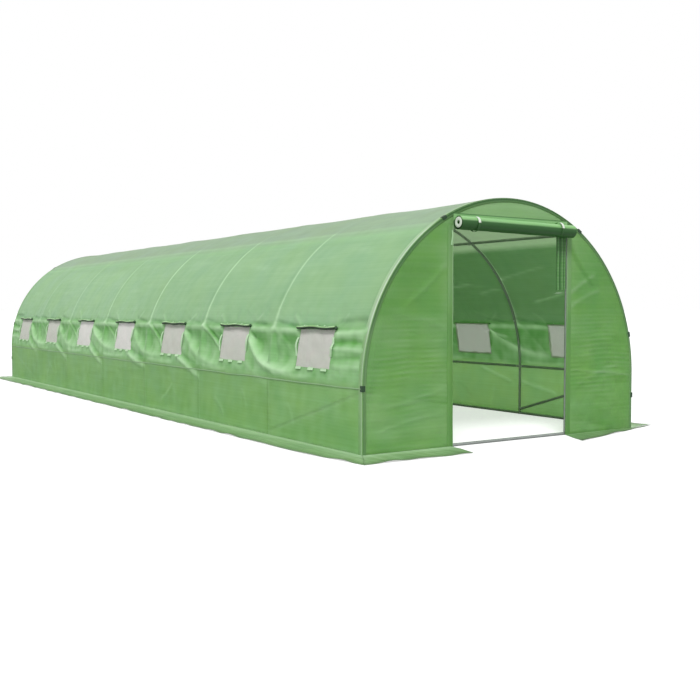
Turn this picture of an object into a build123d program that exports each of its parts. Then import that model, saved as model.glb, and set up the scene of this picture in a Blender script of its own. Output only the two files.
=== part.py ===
from build123d import *
import math
import os

# Walk-in polytunnel greenhouse: tube hoops under a film cover, with a doorway at each end.
# Millimetres. The origin is on the ground at the middle of the plan. X runs across,
# Y runs along the tunnel with the front end at -Y, and Z is up.

# The film cover, outside sizes
COVER_WIDTH = 3000.0
COVER_LENGTH = 10000.0
LEG_HEIGHT = 500.0
FILM = 3.0
BAND_SPLITS = (0.0, 30.0, 60.0, 90.0)

# The tube frame
BAY_COUNT = 7
TUBE_DIAMETER = 25.0
SHOULDER_ANGLE = 57.0
BRACKET_LENGTH = 90.0
BRACKET_WIDTH = 22.0
BRACKET_THICKNESS = 3.0

# Doorways and the rolled door sheets
DOOR_WIDTH = 1270.0
DOOR_HEAD_DROP = 280.0
ROLL_DIAMETER = 115.0
ROLL_RISE = 40.0
STRAP_WIDTH = 22.0
STRAP_THICKNESS = 2.0
STRAP_INSET = 170.0

# Windows in the side walls, one in each bay
WINDOW_WIDTH = 520.0
WINDOW_SILL = 620.0
WINDOW_HEAD = 930.0
FLAP_DIAMETER = 40.0
FLAP_OVERHANG = 35.0
FLAP_RISE = 30.0

# The skirt that lies on the ground round the foot of the cover
SKIRT_WIDTH = 300.0
SKIRT_END_DEPTH = 350.0
SQUARE_CORNER_OUT = 220.0
SQUARE_JAMB_FLARE = 85.0
CUT_CORNER_OUT = 320.0
CUT_CORNER_BACK = 40.0
CUT_JAMB_FLARE = 165.0

# Clips that hold the cover on the end hoops
CLIP_LENGTH = 45.0
CLIP_REACH = 28.0
CLIP_THICKNESS = 3.0
CLIP_ANGLES = (14.0, 58.0, 119.0, 180.0)
CLIP_LEG_HEIGHT = 307.0

# Clearances: between pieces that seat on each other
SEAT = 0.3

# Sizes that follow from the ones above
COVER_RADIUS = COVER_WIDTH / 2
COVER_END = COVER_LENGTH / 2
FILM_INSIDE = COVER_RADIUS - FILM
PANEL_RADIUS = FILM_INSIDE - SEAT
TUBE_RADIUS = TUBE_DIAMETER / 2
HOOP_RADIUS = FILM_INSIDE - SEAT - TUBE_RADIUS
HOOP_INSIDE = HOOP_RADIUS - TUBE_RADIUS
END_HOOP_Y = COVER_END - FILM - SEAT - TUBE_RADIUS
BAY = 2 * END_HOOP_Y / BAY_COUNT
HOOP_PLACES = [-END_HOOP_Y + index * BAY for index in range(BAY_COUNT + 1)]
BAY_MIDDLES = [place + BAY / 2 for place in HOOP_PLACES[:-1]]
DOOR_HEIGHT = LEG_HEIGHT + COVER_RADIUS - DOOR_HEAD_DROP
DOOR_HALF = DOOR_WIDTH / 2
POST_X = DOOR_HALF + TUBE_RADIUS
ROLL_RADIUS = ROLL_DIAMETER / 2
ROLL_Z = DOOR_HEIGHT + ROLL_RISE
ROLL_Y = COVER_END + 2 * SEAT + STRAP_THICKNESS + ROLL_RADIUS
FLAP_RADIUS = FLAP_DIAMETER / 2
LEFT, RIGHT = -1, 1

os.makedirs("parts", exist_ok=True)


def save(name, solids):
    """Write one node as its own STEP file."""
    pieces = [solid for item in solids for solid in item.solids()]
    export_step(Compound(children=pieces, label=name), f"parts/{name}.step")


def ring_sector(inner, outer, start, end):
    """A slice of a ring between two angles, in degrees from +X."""
    outside = CenterArc((0, 0), outer, start, end - start)
    inside = CenterArc((0, 0), inner, start, end - start)
    first = Line(inside @ 0, outside @ 0)
    last = Line(inside @ 1, outside @ 1)
    return make_face([outside, last, inside, first])


def across(sketch, length, middle=0.0):
    """Stretch a sketch drawn in X and Z along Y, centred at the given place."""
    return Pos(0, middle, 0) * extrude(Plane.XZ * sketch, length / 2, both=True)


def tube(start, end):
    """A round bar between two points."""
    run = Vector(*end) - Vector(*start)
    place = Plane(origin=start, z_dir=run)
    return extrude(place * Circle(TUBE_RADIUS), run.length)


def on_arch(solid, angle):
    """Swing a solid modelled at the +X spring line up the arch by an angle."""
    return Pos(0, 0, LEG_HEIGHT) * Rot(0, -angle, 0) * Pos(0, 0, -LEG_HEIGHT) * solid


def both_ends(solid):
    """The same solid at the front and, turned half round, at the back."""
    return [solid, Rot(0, 0, 180) * solid]


def band(start, end, length=COVER_LENGTH, middle=0.0):
    """A strip of the arched cover between two angles, in degrees above the +X spring line."""
    sector = Pos(0, LEG_HEIGHT) * ring_sector(FILM_INSIDE, COVER_RADIUS, start, end)
    return across(sector, length, middle)


# Hoops: two legs and a half-round arch in one tube
def hoop(y):
    """One hoop of the frame at a place along the tunnel."""
    left_leg = Line((-HOOP_RADIUS, y, 0), (-HOOP_RADIUS, y, LEG_HEIGHT))
    crown = (0, y, LEG_HEIGHT + HOOP_RADIUS)
    arch = ThreePointArc(left_leg @ 1, crown, (HOOP_RADIUS, y, LEG_HEIGHT))
    right_leg = Line(arch @ 1, (HOOP_RADIUS, y, 0))
    section = Pos(-HOOP_RADIUS, y, 0) * Circle(TUBE_RADIUS)
    return sweep(section, path=left_leg + arch + right_leg)


for number, place in enumerate(HOOP_PLACES, start=1):
    save(f"hoop_{number}", [hoop(place)])


# Tubes along the tunnel, cut between the hoops
def purlins(x, z):
    """One line of tubes along the tunnel, a length in each bay."""
    reach = BAY / 2 - TUBE_RADIUS - SEAT
    return [tube((x, middle - reach, z), (x, middle + reach, z)) for middle in BAY_MIDDLES]


def arch_purlins(angle):
    """A line of tubes at an angle on the arch."""
    turn = math.radians(angle)
    return purlins(HOOP_RADIUS * math.cos(turn), LEG_HEIGHT + HOOP_RADIUS * math.sin(turn))


save("ridge_tube", arch_purlins(90))
save("shoulder_tube_left", arch_purlins(180 - SHOULDER_ANGLE))
save("shoulder_tube_right", arch_purlins(SHOULDER_ANGLE))
save("waist_tube_left", arch_purlins(180))
save("waist_tube_right", arch_purlins(0))
save("base_tube_left", purlins(-HOOP_RADIUS, TUBE_RADIUS))
save("base_tube_right", purlins(HOOP_RADIUS, TUBE_RADIUS))


# Braces from the foot of the second hoop to the waist of the end hoop
def brace(side):
    """A diagonal brace in the front bay of one side wall."""
    foot = (side * HOOP_RADIUS, HOOP_PLACES[1], 2 * TUBE_DIAMETER)
    head = (side * HOOP_RADIUS, HOOP_PLACES[0], LEG_HEIGHT - TUBE_DIAMETER)
    reach = BAY - TUBE_DIAMETER - 2 * SEAT
    room = Pos(side * HOOP_RADIUS, BAY_MIDDLES[0], LEG_HEIGHT / 2)
    return tube(foot, head) & room * Box(2 * TUBE_DIAMETER, reach, LEG_HEIGHT)


save("corner_braces", both_ends(brace(LEFT)) + both_ends(brace(RIGHT)))


# Door frames: a tube on the ground, two posts on it and a head tube between them
SILL_REACH = HOOP_INSIDE - SEAT
POST_FOOT = TUBE_DIAMETER + SEAT
POST_TOP = LEG_HEIGHT + math.sqrt(HOOP_INSIDE**2 - (POST_X + TUBE_RADIUS) ** 2) - SEAT
HEAD_Z = DOOR_HEIGHT + TUBE_RADIUS
sill = tube((-SILL_REACH, -END_HOOP_Y, TUBE_RADIUS), (SILL_REACH, -END_HOOP_Y, TUBE_RADIUS))
posts = [
    tube((side * POST_X, -END_HOOP_Y, POST_FOOT), (side * POST_X, -END_HOOP_Y, POST_TOP))
    for side in (LEFT, RIGHT)
]
HEAD_REACH = DOOR_HALF - SEAT
head_tube = tube((-HEAD_REACH, -END_HOOP_Y, HEAD_Z), (HEAD_REACH, -END_HOOP_Y, HEAD_Z))
save("sill_tubes", both_ends(sill))
save("door_posts", both_ends(posts[0]) + both_ends(posts[1]))
save("door_heads", both_ends(head_tube))


# Flat brackets inside the frame where the tubes cross the hoops
def bracket(y):
    """A bracket at the +X spring line, kept inside the end panels."""
    start = max(y - BRACKET_LENGTH / 2, HOOP_PLACES[0] - TUBE_RADIUS)
    end = min(y + BRACKET_LENGTH / 2, HOOP_PLACES[-1] + TUBE_RADIUS)
    x = HOOP_INSIDE - SEAT - BRACKET_THICKNESS / 2
    plate = Box(BRACKET_THICKNESS, end - start, BRACKET_WIDTH)
    return Pos(x, (start + end) / 2, LEG_HEIGHT) * plate


BRACKET_ANGLES = (0, SHOULDER_ANGLE, 90, 180 - SHOULDER_ANGLE, 180)
brackets = [on_arch(bracket(y), angle) for y in HOOP_PLACES for angle in BRACKET_ANGLES]
save("tube_brackets", brackets)


# The cover: side walls, window strips and roof strips, seamed edge to edge
def side_wall():
    """The upright foot of the cover on the right, standing on the skirt."""
    x = COVER_RADIUS - FILM / 2
    return Pos(x, 0, (FILM + LEG_HEIGHT) / 2) * Box(FILM, COVER_LENGTH, LEG_HEIGHT - FILM)


def window_cutter(middle, gap):
    """The block that a window takes out of the right side, less a gap all round."""
    height = WINDOW_HEAD - WINDOW_SILL - 2 * gap
    block = Box(COVER_RADIUS, WINDOW_WIDTH - 2 * gap, height)
    return Pos(COVER_RADIUS, middle, (WINDOW_SILL + WINDOW_HEAD) / 2) * block


def window_strip():
    """The strip of cover over the waist, with a hole for each window."""
    strip = band(BAND_SPLITS[0], BAND_SPLITS[1])
    return strip - [window_cutter(middle, 0) for middle in BAY_MIDDLES]


def window_nets():
    """A net panel in each window hole."""
    panels = []
    for middle in BAY_MIDDLES:
        sheet = band(BAND_SPLITS[0], BAND_SPLITS[1], length=WINDOW_WIDTH, middle=middle)
        panels.append(sheet & window_cutter(middle, SEAT))
    return panels


def window_flaps():
    """A rolled flap over each window, lying on the outside of the cover."""
    radius = COVER_RADIUS + SEAT + FLAP_RADIUS
    z = WINDOW_HEAD + FLAP_RISE
    roll = Pos(math.sqrt(radius**2 - (z - LEG_HEIGHT) ** 2), z) * Circle(FLAP_RADIUS)
    length = WINDOW_WIDTH + 2 * FLAP_OVERHANG
    return [across(roll, length, middle) for middle in BAY_MIDDLES]


def save_both_sides(name, solids):
    """Write solids of the right side, and the same ones turned half round for the left."""
    save(f"{name}_right", solids)
    save(f"{name}_left", [Rot(0, 0, 180) * solid for solid in solids])


save_both_sides("side_wall", [side_wall()])
save_both_sides("window_strip", [window_strip()])
save_both_sides("roof_lower", [band(BAND_SPLITS[1], BAND_SPLITS[2])])
save_both_sides("roof_upper", [band(BAND_SPLITS[2], BAND_SPLITS[3])])
save_both_sides("window_nets", window_nets())
save_both_sides("window_flaps", window_flaps())


# End panels: one each side of the doorway and one over it
def end_outline():
    """The outline inside the cover at an end, standing on the skirt."""
    legs = Pos(0, (FILM + LEG_HEIGHT) / 2) * Rectangle(2 * PANEL_RADIUS, LEG_HEIGHT - FILM)
    upper = Pos(0, LEG_HEIGHT + PANEL_RADIUS / 2) * Rectangle(2 * PANEL_RADIUS, PANEL_RADIUS)
    return legs + (Pos(0, LEG_HEIGHT) * Circle(PANEL_RADIUS) & upper)


def end_piece(low_x, high_x, low_z):
    """The part of the front end between two sides and over a height."""
    top = LEG_HEIGHT + PANEL_RADIUS
    window = Pos((low_x + high_x) / 2, (low_z + top) / 2) * Rectangle(high_x - low_x, top - low_z)
    return across(end_outline() & window, FILM, -COVER_END + FILM / 2)


panel_left = end_piece(-PANEL_RADIUS, -DOOR_HALF, FILM)
panel_right = end_piece(DOOR_HALF, PANEL_RADIUS, FILM)
panel_top = end_piece(-DOOR_HALF, DOOR_HALF, DOOR_HEIGHT)
for name, panel in (("left", panel_left), ("right", panel_right), ("top", panel_top)):
    front, back = both_ends(panel)
    save(f"front_panel_{name}", [front])
    save(f"back_panel_{name}", [back])


# The skirt: flat strips on the ground, mitred at one corner of each end and cut at the other
INNER_X = FILM_INSIDE
INNER_Y = COVER_END - FILM
SQUARE_CORNER = (COVER_RADIUS + SQUARE_CORNER_OUT, COVER_END + SKIRT_END_DEPTH)
CUT_CORNER = (COVER_RADIUS + CUT_CORNER_OUT, COVER_END - CUT_CORNER_BACK)


def ground_sheet(*points):
    """A flat sheet on the ground with the given corners."""
    return extrude(make_face(Polyline(*points, close=True)), FILM)


side_skirt = ground_sheet(
    (-INNER_X, -INNER_Y),
    (-SQUARE_CORNER[0], -SQUARE_CORNER[1]),
    (-COVER_RADIUS - SKIRT_WIDTH, -COVER_END + SKIRT_END_DEPTH),
    (-COVER_RADIUS - SKIRT_WIDTH, COVER_END - SKIRT_END_DEPTH),
    (-CUT_CORNER[0], CUT_CORNER[1]),
    (-INNER_X, INNER_Y),
)
square_skirt = ground_sheet(
    (-INNER_X, -INNER_Y),
    (-SQUARE_CORNER[0], -SQUARE_CORNER[1]),
    (-DOOR_HALF - SQUARE_JAMB_FLARE, -SQUARE_CORNER[1]),
    (-DOOR_HALF, -INNER_Y),
)
cut_skirt = ground_sheet(
    (INNER_X, -INNER_Y),
    (CUT_CORNER[0], -CUT_CORNER[1]),
    (DOOR_HALF - CUT_JAMB_FLARE, -SQUARE_CORNER[1]),
    (DOOR_HALF, -INNER_Y),
)
skirt_left, skirt_right = both_ends(side_skirt)
save("ground_skirt_left", [skirt_left])
save("ground_skirt_right", [skirt_right])
front_square, back_square = both_ends(square_skirt)
front_cut, back_cut = both_ends(cut_skirt)
save("ground_skirt_front", [front_square, front_cut])
save("ground_skirt_back", [back_square, back_cut])


# Door sheets rolled up over the doorways, each held by two straps
def along_x(radius, length, middle=0.0):
    """A round bar across the tunnel at the door roll's place."""
    start = Plane(origin=(middle - length / 2, -ROLL_Y, ROLL_Z), z_dir=(1, 0, 0))
    return extrude(start * Circle(radius), length)


def strap(side):
    """A loop round the roll near one end."""
    middle = side * (DOOR_HALF - STRAP_INSET)
    inside = ROLL_RADIUS + SEAT
    loop = along_x(inside + STRAP_THICKNESS, STRAP_WIDTH, middle)
    return loop - along_x(inside, STRAP_WIDTH, middle)


save("door_rolls", both_ends(along_x(ROLL_RADIUS, DOOR_WIDTH)))
save("roll_straps", both_ends(strap(LEFT)) + both_ends(strap(RIGHT)))


# Clips over the cover's edge on the end hoops
def clip():
    """A clip at the +X spring line of the front hoop: one leaf on the cover, one on the end."""
    front_y = -COVER_END - SEAT
    cover_leaf = Box(CLIP_THICKNESS, CLIP_REACH, CLIP_LENGTH)
    end_leaf = Box(CLIP_REACH, CLIP_THICKNESS, CLIP_LENGTH)
    outside = COVER_RADIUS + SEAT + CLIP_THICKNESS
    return (
        Pos(outside - CLIP_THICKNESS / 2, front_y - CLIP_THICKNESS + CLIP_REACH / 2, LEG_HEIGHT)
        * cover_leaf
        + Pos(outside - CLIP_REACH / 2, front_y - CLIP_THICKNESS / 2, LEG_HEIGHT) * end_leaf
    )


arch_clips = [on_arch(clip(), angle) for angle in CLIP_ANGLES]
leg_clip = Pos(0, 0, CLIP_LEG_HEIGHT - LEG_HEIGHT) * clip()
save("cover_clips", [end for one in arch_clips + [leg_clip] for end in both_ends(one)])
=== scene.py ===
"""Looks of the walk-in polytunnel greenhouse: film cover, nets, rolls, hems and steel, in metres."""
import logging
import math
from dataclasses import dataclass
from enum import Enum

import bpy
import numpy as np
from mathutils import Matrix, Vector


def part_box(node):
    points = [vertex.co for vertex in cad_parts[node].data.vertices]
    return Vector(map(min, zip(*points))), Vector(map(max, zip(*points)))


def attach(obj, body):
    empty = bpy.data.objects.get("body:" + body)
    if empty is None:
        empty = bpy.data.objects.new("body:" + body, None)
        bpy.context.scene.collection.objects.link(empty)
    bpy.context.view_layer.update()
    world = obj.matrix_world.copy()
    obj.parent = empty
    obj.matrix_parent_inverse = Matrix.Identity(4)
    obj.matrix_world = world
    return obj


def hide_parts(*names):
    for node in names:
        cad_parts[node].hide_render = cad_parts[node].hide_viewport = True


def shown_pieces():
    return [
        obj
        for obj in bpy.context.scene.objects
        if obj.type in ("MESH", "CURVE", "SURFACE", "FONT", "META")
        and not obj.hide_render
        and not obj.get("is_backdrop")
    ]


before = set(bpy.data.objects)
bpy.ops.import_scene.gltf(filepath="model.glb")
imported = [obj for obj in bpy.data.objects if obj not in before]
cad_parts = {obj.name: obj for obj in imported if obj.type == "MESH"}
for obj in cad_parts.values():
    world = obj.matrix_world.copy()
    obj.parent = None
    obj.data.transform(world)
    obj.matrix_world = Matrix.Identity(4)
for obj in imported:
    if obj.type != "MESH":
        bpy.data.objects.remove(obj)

LOG = logging.getLogger("polytunnel")
Array = np.ndarray
Colour = tuple[float, float, float]
Spot = tuple[float, float]
Socket = bpy.types.NodeSocket
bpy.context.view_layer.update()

# Directions across and along the tunnel, up, and out of its front.
ACROSS = np.array([1.0, 0, 0])
ALONG = np.array([0, 1.0, 0])
UP = np.array([0, 0, 1.0])
FRONT = np.array([0, -1.0, 0])
# Height of the film's lower edges.
FOOT = 0.003
# Half the film's thickness: a sheet's surface runs in the middle of the film.
HALF_FILM = 0.0015
# Distance from the cover's outside to the tubes.
TUBE_DEPTH = 0.0033
# Corners of a tape's cross-section, as shares of its width and thickness.
TAPE_CORNERS = (
    (-0.5, -0.3), (-0.44, -0.5), (0.44, -0.5), (0.5, -0.3),
    (0.5, 0.3), (0.44, 0.5), (-0.44, 0.5), (-0.5, 0.3),
)
# Bands of film beside the end windows: level as a share of the window's height, then height and
# half width of the fold in millimetres.
END_BANDS = ((1.20, -14, 24), (0.92, 16, 28), (0.66, -15, 22), (0.48, 10, 20), (0.28, -9, 20), (0.08, 8, 22))
# Folds in the right half of the roof, from start to end: distance from the front, distance over the cover.
ROOF_FOLDS = (
    ((1.861, 1.287), (1.494, 1.338)),
    ((1.123, 1.186), (0.572, 1.302)),
    ((2.900, 1.500), (2.200, 1.620)),
    ((1.500, 1.440), (0.700, 1.600)),
    ((2.400, 1.360), (1.900, 1.400)),
)
# The same in the right wall and window strip.
SIDE_FOLDS = (
    ((2.070, 0.469), (1.565, 0.327)),
    ((1.470, 0.349), (0.906, 0.241)),
    ((2.020, 0.890), (1.570, 0.810)),
)
# Folds in the end panels left (-1) and right (1) of the doorway: distance from the jamb and height, of
# start and end, then the fold's height, half width and bow.
END_FOLDS = (
    (1, (0.00, 1.200), (0.36, 1.400), 0.0060, 0.016, 0.01),
    (1, (0.00, 1.080), (0.42, 1.260), 0.0050, 0.020, 0.02),
    (1, (0.05, 1.620), (0.34, 1.280), -0.0050, 0.022, -0.02),
    (1, (0.10, 0.420), (0.70, 0.600), 0.0030, 0.020, 0.02),
    (1, (0.02, 0.570), (0.84, 0.497), 0.0045, 0.011, 0.0),
    (-1, (0.00, 1.520), (0.46, 1.120), 0.0050, 0.024, 0.02),
    (-1, (0.00, 0.920), (0.60, 1.060), 0.0040, 0.022, -0.02),
    (-1, (0.00, 0.500), (0.70, 0.340), 0.0040, 0.020, 0.02),
    (-1, (0.00, 0.280), (0.72, 0.160), 0.0040, 0.018, -0.02),
)
# The left (-1) and right (1) end panels get a painted light at the foot: how much, below what height, and the
# height over which it comes in.
PANEL_FEET = {-1: (0.10, 1.2, 0.5), 1: (0.06, 0.6, 0.3)}
# Painted highlight and shade across a hem, from the roof round to the end wall: on the legs, on the arch and
# over its top.
HEM_LEG = (0.0, 0.02, 0.04, 0.15, 0.42, 0.2, -0.1, -0.35, -0.55, -0.6, -0.5, -0.35, -0.25, -0.25)
HEM_ARCH = (0.36, 0.38, 0.42, 0.60, 1.0, 0.55, 0.0, -0.45, -0.75, -0.8, -0.75, -0.5, -0.3, -0.3)
HEM_TOP = (0.30, 0.30, 0.24, 0.0, -0.5, -0.8, -0.9, -0.95, -0.95, -0.9, -0.85, -0.6, -0.4, -0.4)


class Place(Enum):
    """A side or an end of the tunnel."""

    @property
    def word(self) -> str:
        """Its name in the names of pieces."""
        return self.name.lower()


class Side(Place):
    """A long side of the tunnel, by the sign of its X."""

    LEFT = -1
    RIGHT = 1


class End(Place):
    """An end of the tunnel. The back is the front turned half round."""

    FRONT = 1
    BACK = -1

    def turned(self, points: Array) -> Array:
        """Points modelled at the front, moved to this end."""
        return points * np.array([self.value, self.value, 1.0])


@dataclass(frozen=True)
class Measures:
    """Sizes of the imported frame.

    Args:
        radius: Outside radius of the cover's arch.
        leg: Height where the arch springs from the upright legs.
        end: Distance from the middle to the cover's end.
        hoops: Places of the hoops along the tunnel.
        tube: Radius of the frame's tubes.
        shoulder: Angle of the shoulder tubes above the spring line.
        sill: Height of a window's lower edge.
        head: Height of a window's upper edge.
        window: Width of a window.
        door: Half the width of a doorway.
        lintel: Height of a doorway.
        roll_y: Distance of a door roll's middle from the plan's middle.
        roll_z: Height of a door roll's middle.
        roll: Radius of a door roll.
    """

    radius: float
    leg: float
    end: float
    hoops: tuple[float, ...]
    tube: float
    shoulder: float
    sill: float
    head: float
    window: float
    door: float
    lintel: float
    roll_y: float
    roll_z: float
    roll: float

    @classmethod
    def read(cls) -> "Measures":
        """Read the sizes from the boxes of the frame's nodes."""
        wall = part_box("side_wall_right")
        hoops = tuple(middle("hoop_%d" % number)[1] for number in range(1, 9))
        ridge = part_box("ridge_tube")
        arm = middle("shoulder_tube_right")
        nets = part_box("window_nets_right")
        first = (hoops[0] + hoops[1]) / 2
        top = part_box("front_panel_top")
        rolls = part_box("door_rolls")
        thickness = rolls[1].z - rolls[0].z
        return cls(
            radius=wall[1].x,
            leg=wall[1].z,
            end=wall[1].y,
            hoops=hoops,
            tube=(ridge[1].x - ridge[0].x) / 2,
            shoulder=math.atan2(arm[2] - wall[1].z, arm[0]),
            sill=nets[0].z,
            head=nets[1].z,
            window=2 * (first - nets[0].y),
            door=top[1].x,
            lintel=top[0].z,
            roll_y=rolls[1].y - thickness / 2,
            roll_z=(rolls[0].z + rolls[1].z) / 2,
            roll=thickness / 2,
        )

    @property
    def bay(self) -> float:
        """Distance between two hoops."""
        return self.hoops[1] - self.hoops[0]

    @property
    def windows(self) -> tuple[float, ...]:
        """Places of the windows along the tunnel."""
        return tuple(place + self.bay / 2 for place in self.hoops[:-1])

    @property
    def girth(self) -> float:
        """Distance over the whole cover, from ground to ground."""
        return 2 * self.leg + math.pi * self.radius

    def up(self, z: float) -> float:
        """Distance over the cover from the ground up to a height."""
        if z <= self.leg:
            return z
        return self.leg + self.radius * math.asin((z - self.leg) / self.radius)

    def over(self, side: Side, y: Array, up: Array, lift: Array) -> Array:
        """Points on the cover.

        Args:
            side: The long side that the distances start from.
            y: Places along the tunnel.
            up: Distances over the cover from the ground.
            lift: Distances outward from the cover's outside.

        Returns:
            The points, with X, Y and Z in the last axis.
        """
        turn = np.maximum(up - self.leg, 0) / self.radius
        reach = self.radius + lift
        x = side.value * reach * np.cos(turn)
        z = np.where(up < self.leg, up, self.leg + reach * np.sin(turn))
        return np.stack(np.broadcast_arrays(x, y, z), -1)


def middle(node: str) -> tuple[float, ...]:
    """The middle of a node's box."""
    low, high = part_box(node)
    return tuple((low[axis] + high[axis]) / 2 for axis in range(3))


def ease(value: Array) -> Array:
    """A smooth step from 0 to 1."""
    held = np.clip(value, 0.0, 1.0)
    return held * held * (3 - 2 * held)


def bell(value: Array) -> Array:
    """A smooth bump that is 1 at 0 and falls away on both sides."""
    return np.exp(-(value**2))


def run_along(points: Array) -> Array:
    """Distance of each point of a line from its start."""
    return np.concatenate([[0], np.cumsum(np.linalg.norm(np.diff(points, axis=0), axis=1))])


def spokes(turn: Array) -> Array:
    """Directions square to the X axis, by their angle from +Y."""
    return np.stack([turn * 0, np.cos(turn), np.sin(turn)], -1)


def ripple(u: Array, v: Array, seed: int, wave: float, stretch: float = 1.0) -> Array:
    """Smooth random waves over a sheet.

    Args:
        u: Places along the sheet.
        v: Places across the sheet.
        seed: Seed of the waves.
        wave: Length of a middling wave.
        stretch: How much longer the waves are along the sheet than across it.

    Returns:
        Heights of about -1 to 1.
    """
    draw = np.random.default_rng(seed)
    total = np.zeros(np.broadcast(u, v).shape)
    for _ in range(12):
        turn, size, phase = draw.uniform((0, 0.6, 0), (math.pi, 1.9, 2 * math.pi))
        pace = 2 * math.pi / (wave * size)
        total += np.sin(pace * (u * math.cos(turn) / stretch + v * math.sin(turn)) + phase)
    return total / 4.0


@dataclass(frozen=True)
class Fold:
    """A soft ridge or valley in a sheet, along a bowed line.

    Args:
        start: Where it starts, along and across the sheet.
        end: Where it ends.
        height: Height of the ridge, or less than 0 for a valley.
        width: Half its width.
        bow: How far its line bows out to the left of its run.
    """

    start: Spot
    end: Spot
    height: float
    width: float
    bow: float = 0.0

    def relief(self, u: Array, v: Array) -> Array:
        """Height of the fold over a sheet."""
        run_u, run_v = self.end[0] - self.start[0], self.end[1] - self.start[1]
        length = math.hypot(run_u, run_v)
        du, dv = u - self.start[0], v - self.start[1]
        part = (du * run_u + dv * run_v) / length**2
        bent = np.clip(part, 0, 1)
        off = (dv * run_u - du * run_v) / length - self.bow * 4 * bent * (1 - bent)
        fade = ease((part + 0.08) / 0.22) * ease((1.08 - part) / 0.22)
        return self.height * bell(off / self.width) * fade


def pile(folds: list[Fold], u: Array, v: Array) -> Array:
    """The sum of several folds over a sheet."""
    total = np.zeros(np.broadcast(u, v).shape)
    for fold in folds:
        total += fold.relief(u, v)
    return total


# Meshes


def put(name: str, data: bpy.types.ID) -> bpy.types.Object:
    """Put a mesh, lamp or camera into the scene."""
    made = bpy.data.objects.new(name, data)
    bpy.context.scene.collection.objects.link(made)
    return made


def grid_faces(rows: int, columns: int, keep: Array | None, closed: bool) -> Array:
    """Corner numbers of the quads of a grid.

    Args:
        rows: Number of rows of points.
        columns: Number of points in a row.
        keep: Which quads stay, or None for all.
        closed: Whether the last row joins the first.

    Returns:
        One row of four corner numbers a quad.
    """
    number = np.arange(rows * columns).reshape(rows, columns)
    if closed:
        number = np.vstack([number, number[:1]])
    quads = np.stack([number[:-1, :-1], number[:-1, 1:], number[1:, 1:], number[1:, :-1]], -1)
    return quads[keep] if keep is not None else quads.reshape(-1, 4)


class Shape:
    """Points and faces of a piece, gathered from several grids."""

    def __init__(self) -> None:
        """Start empty."""
        self.points: list[Array] = []
        self.faces: list[Array] = []
        self.cuts: list[Array] = []
        self.tones: list[Array] = []
        self.marks: list[Array] = []
        self.count = 0

    def grid(
        self,
        points: Array,
        cut: Array | None = None,
        tone: Array | float = 0.0,
        keep: Array | None = None,
        closed: bool = False,
        flip: bool = False,
        mark: int = 0,
    ) -> "Shape":
        """Add a grid of points.

        Args:
            points: Points in rows and columns.
            cut: Places on the flat sheet, in the same rows and columns.
            tone: Over 0 where the finish is paler, under 0 where it is deeper; mostly painted highlight and
                painted shade.
            keep: Which quads stay.
            closed: Whether the last row joins the first.
            flip: Whether the faces turn over.
            mark: Number of the material slot.

        Returns:
            The shape itself.
        """
        rows, columns = points.shape[:2]
        faces = grid_faces(rows, columns, keep, closed) + self.count
        self.faces.append(faces[:, ::-1] if flip else faces)
        self.marks.append(np.full(len(faces), mark))
        self.points.append(points.reshape(-1, 3))
        flat = points[..., :2] if cut is None else cut
        self.cuts.append(np.broadcast_to(flat, (rows, columns, 2)).reshape(-1, 2))
        self.tones.append(np.broadcast_to(tone, (rows, columns)).reshape(-1))
        self.count += rows * columns
        return self

    def turned(self, end: End) -> "Shape":
        """Move what was modelled at the front to an end."""
        self.points = [end.turned(points) for points in self.points]
        return self

    def build(self, name: str, *finishes: "Finish", slot: str) -> bpy.types.Object:
        """Make the piece and hang it under the root empty.

        Args:
            name: Name of the piece.
            finishes: One finish for each material slot.
            slot: Not used.

        Returns:
            The new object.
        """
        points, faces = np.concatenate(self.points), np.concatenate(self.faces)
        cuts, tones = np.concatenate(self.cuts), np.concatenate(self.tones)
        used = np.unique(faces)
        place = np.zeros(len(points), int)
        place[used] = np.arange(len(used))
        mesh = bpy.data.meshes.new(name)
        mesh.from_pydata(points[used].tolist(), [], place[faces].tolist())
        flat = mesh.attributes.new("cut", "FLOAT_VECTOR", "POINT")
        flat.data.foreach_set("vector", np.pad(cuts[used], ((0, 0), (0, 1))).ravel().astype(np.float32))
        tone = mesh.attributes.new("tone", "FLOAT", "POINT")
        tone.data.foreach_set("value", tones[used].astype(np.float32))
        for finish in finishes:
            mesh.materials.append(finish.material())
        mesh.polygons.foreach_set("material_index", np.concatenate(self.marks).astype(np.int32))
        mesh.shade_smooth()
        mesh.validate()
        piece = put(name, mesh)
        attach(piece, "root")
        return piece


def lattice(u: Array, v: Array) -> tuple[Array, Array]:
    """Rows of v and columns of u as two grids, u and v."""
    grid_v, grid_u = np.meshgrid(v, u, indexing="ij")
    return grid_u, grid_v


def tape(shape: Shape, line: Array, across: Array, out: Array, width: float, thick: float,
         flip: bool = False, **more: object) -> None:
    """Add a flat tape with rounded edges along a line.

    Args:
        shape: The shape that it goes into.
        line: Points of the tape's middle line.
        across: Directions across the tape, one a point or one for all.
        out: Directions out of the tape's face, one a point or one for all.
        width: Width of the tape.
        thick: Its thickness.
        flip: Whether the faces turn over.
        more: Tone and mark, as in Shape.grid. A tone may have one value a point of the line.
    """
    across, out = np.broadcast_to(across, line.shape), np.broadcast_to(out, line.shape)
    rows = np.stack([line + across * width * a + out * thick * b for a, b in TAPE_CORNERS])
    over = np.array([[a * width] for a, _ in TAPE_CORNERS])
    cut = np.stack(np.broadcast_arrays(run_along(line)[None, :], over), -1)
    shape.grid(rows, cut, closed=True, flip=flip, **more)
    plain = {key: value for key, value in more.items() if np.ndim(value) == 0}
    half = len(TAPE_CORNERS) // 2
    for column in (0, -1):
        cap = np.stack([rows[:half, column], rows[:half - 1:-1, column]])
        shape.grid(cap, flip=flip != (column == -1), **plain)


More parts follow.
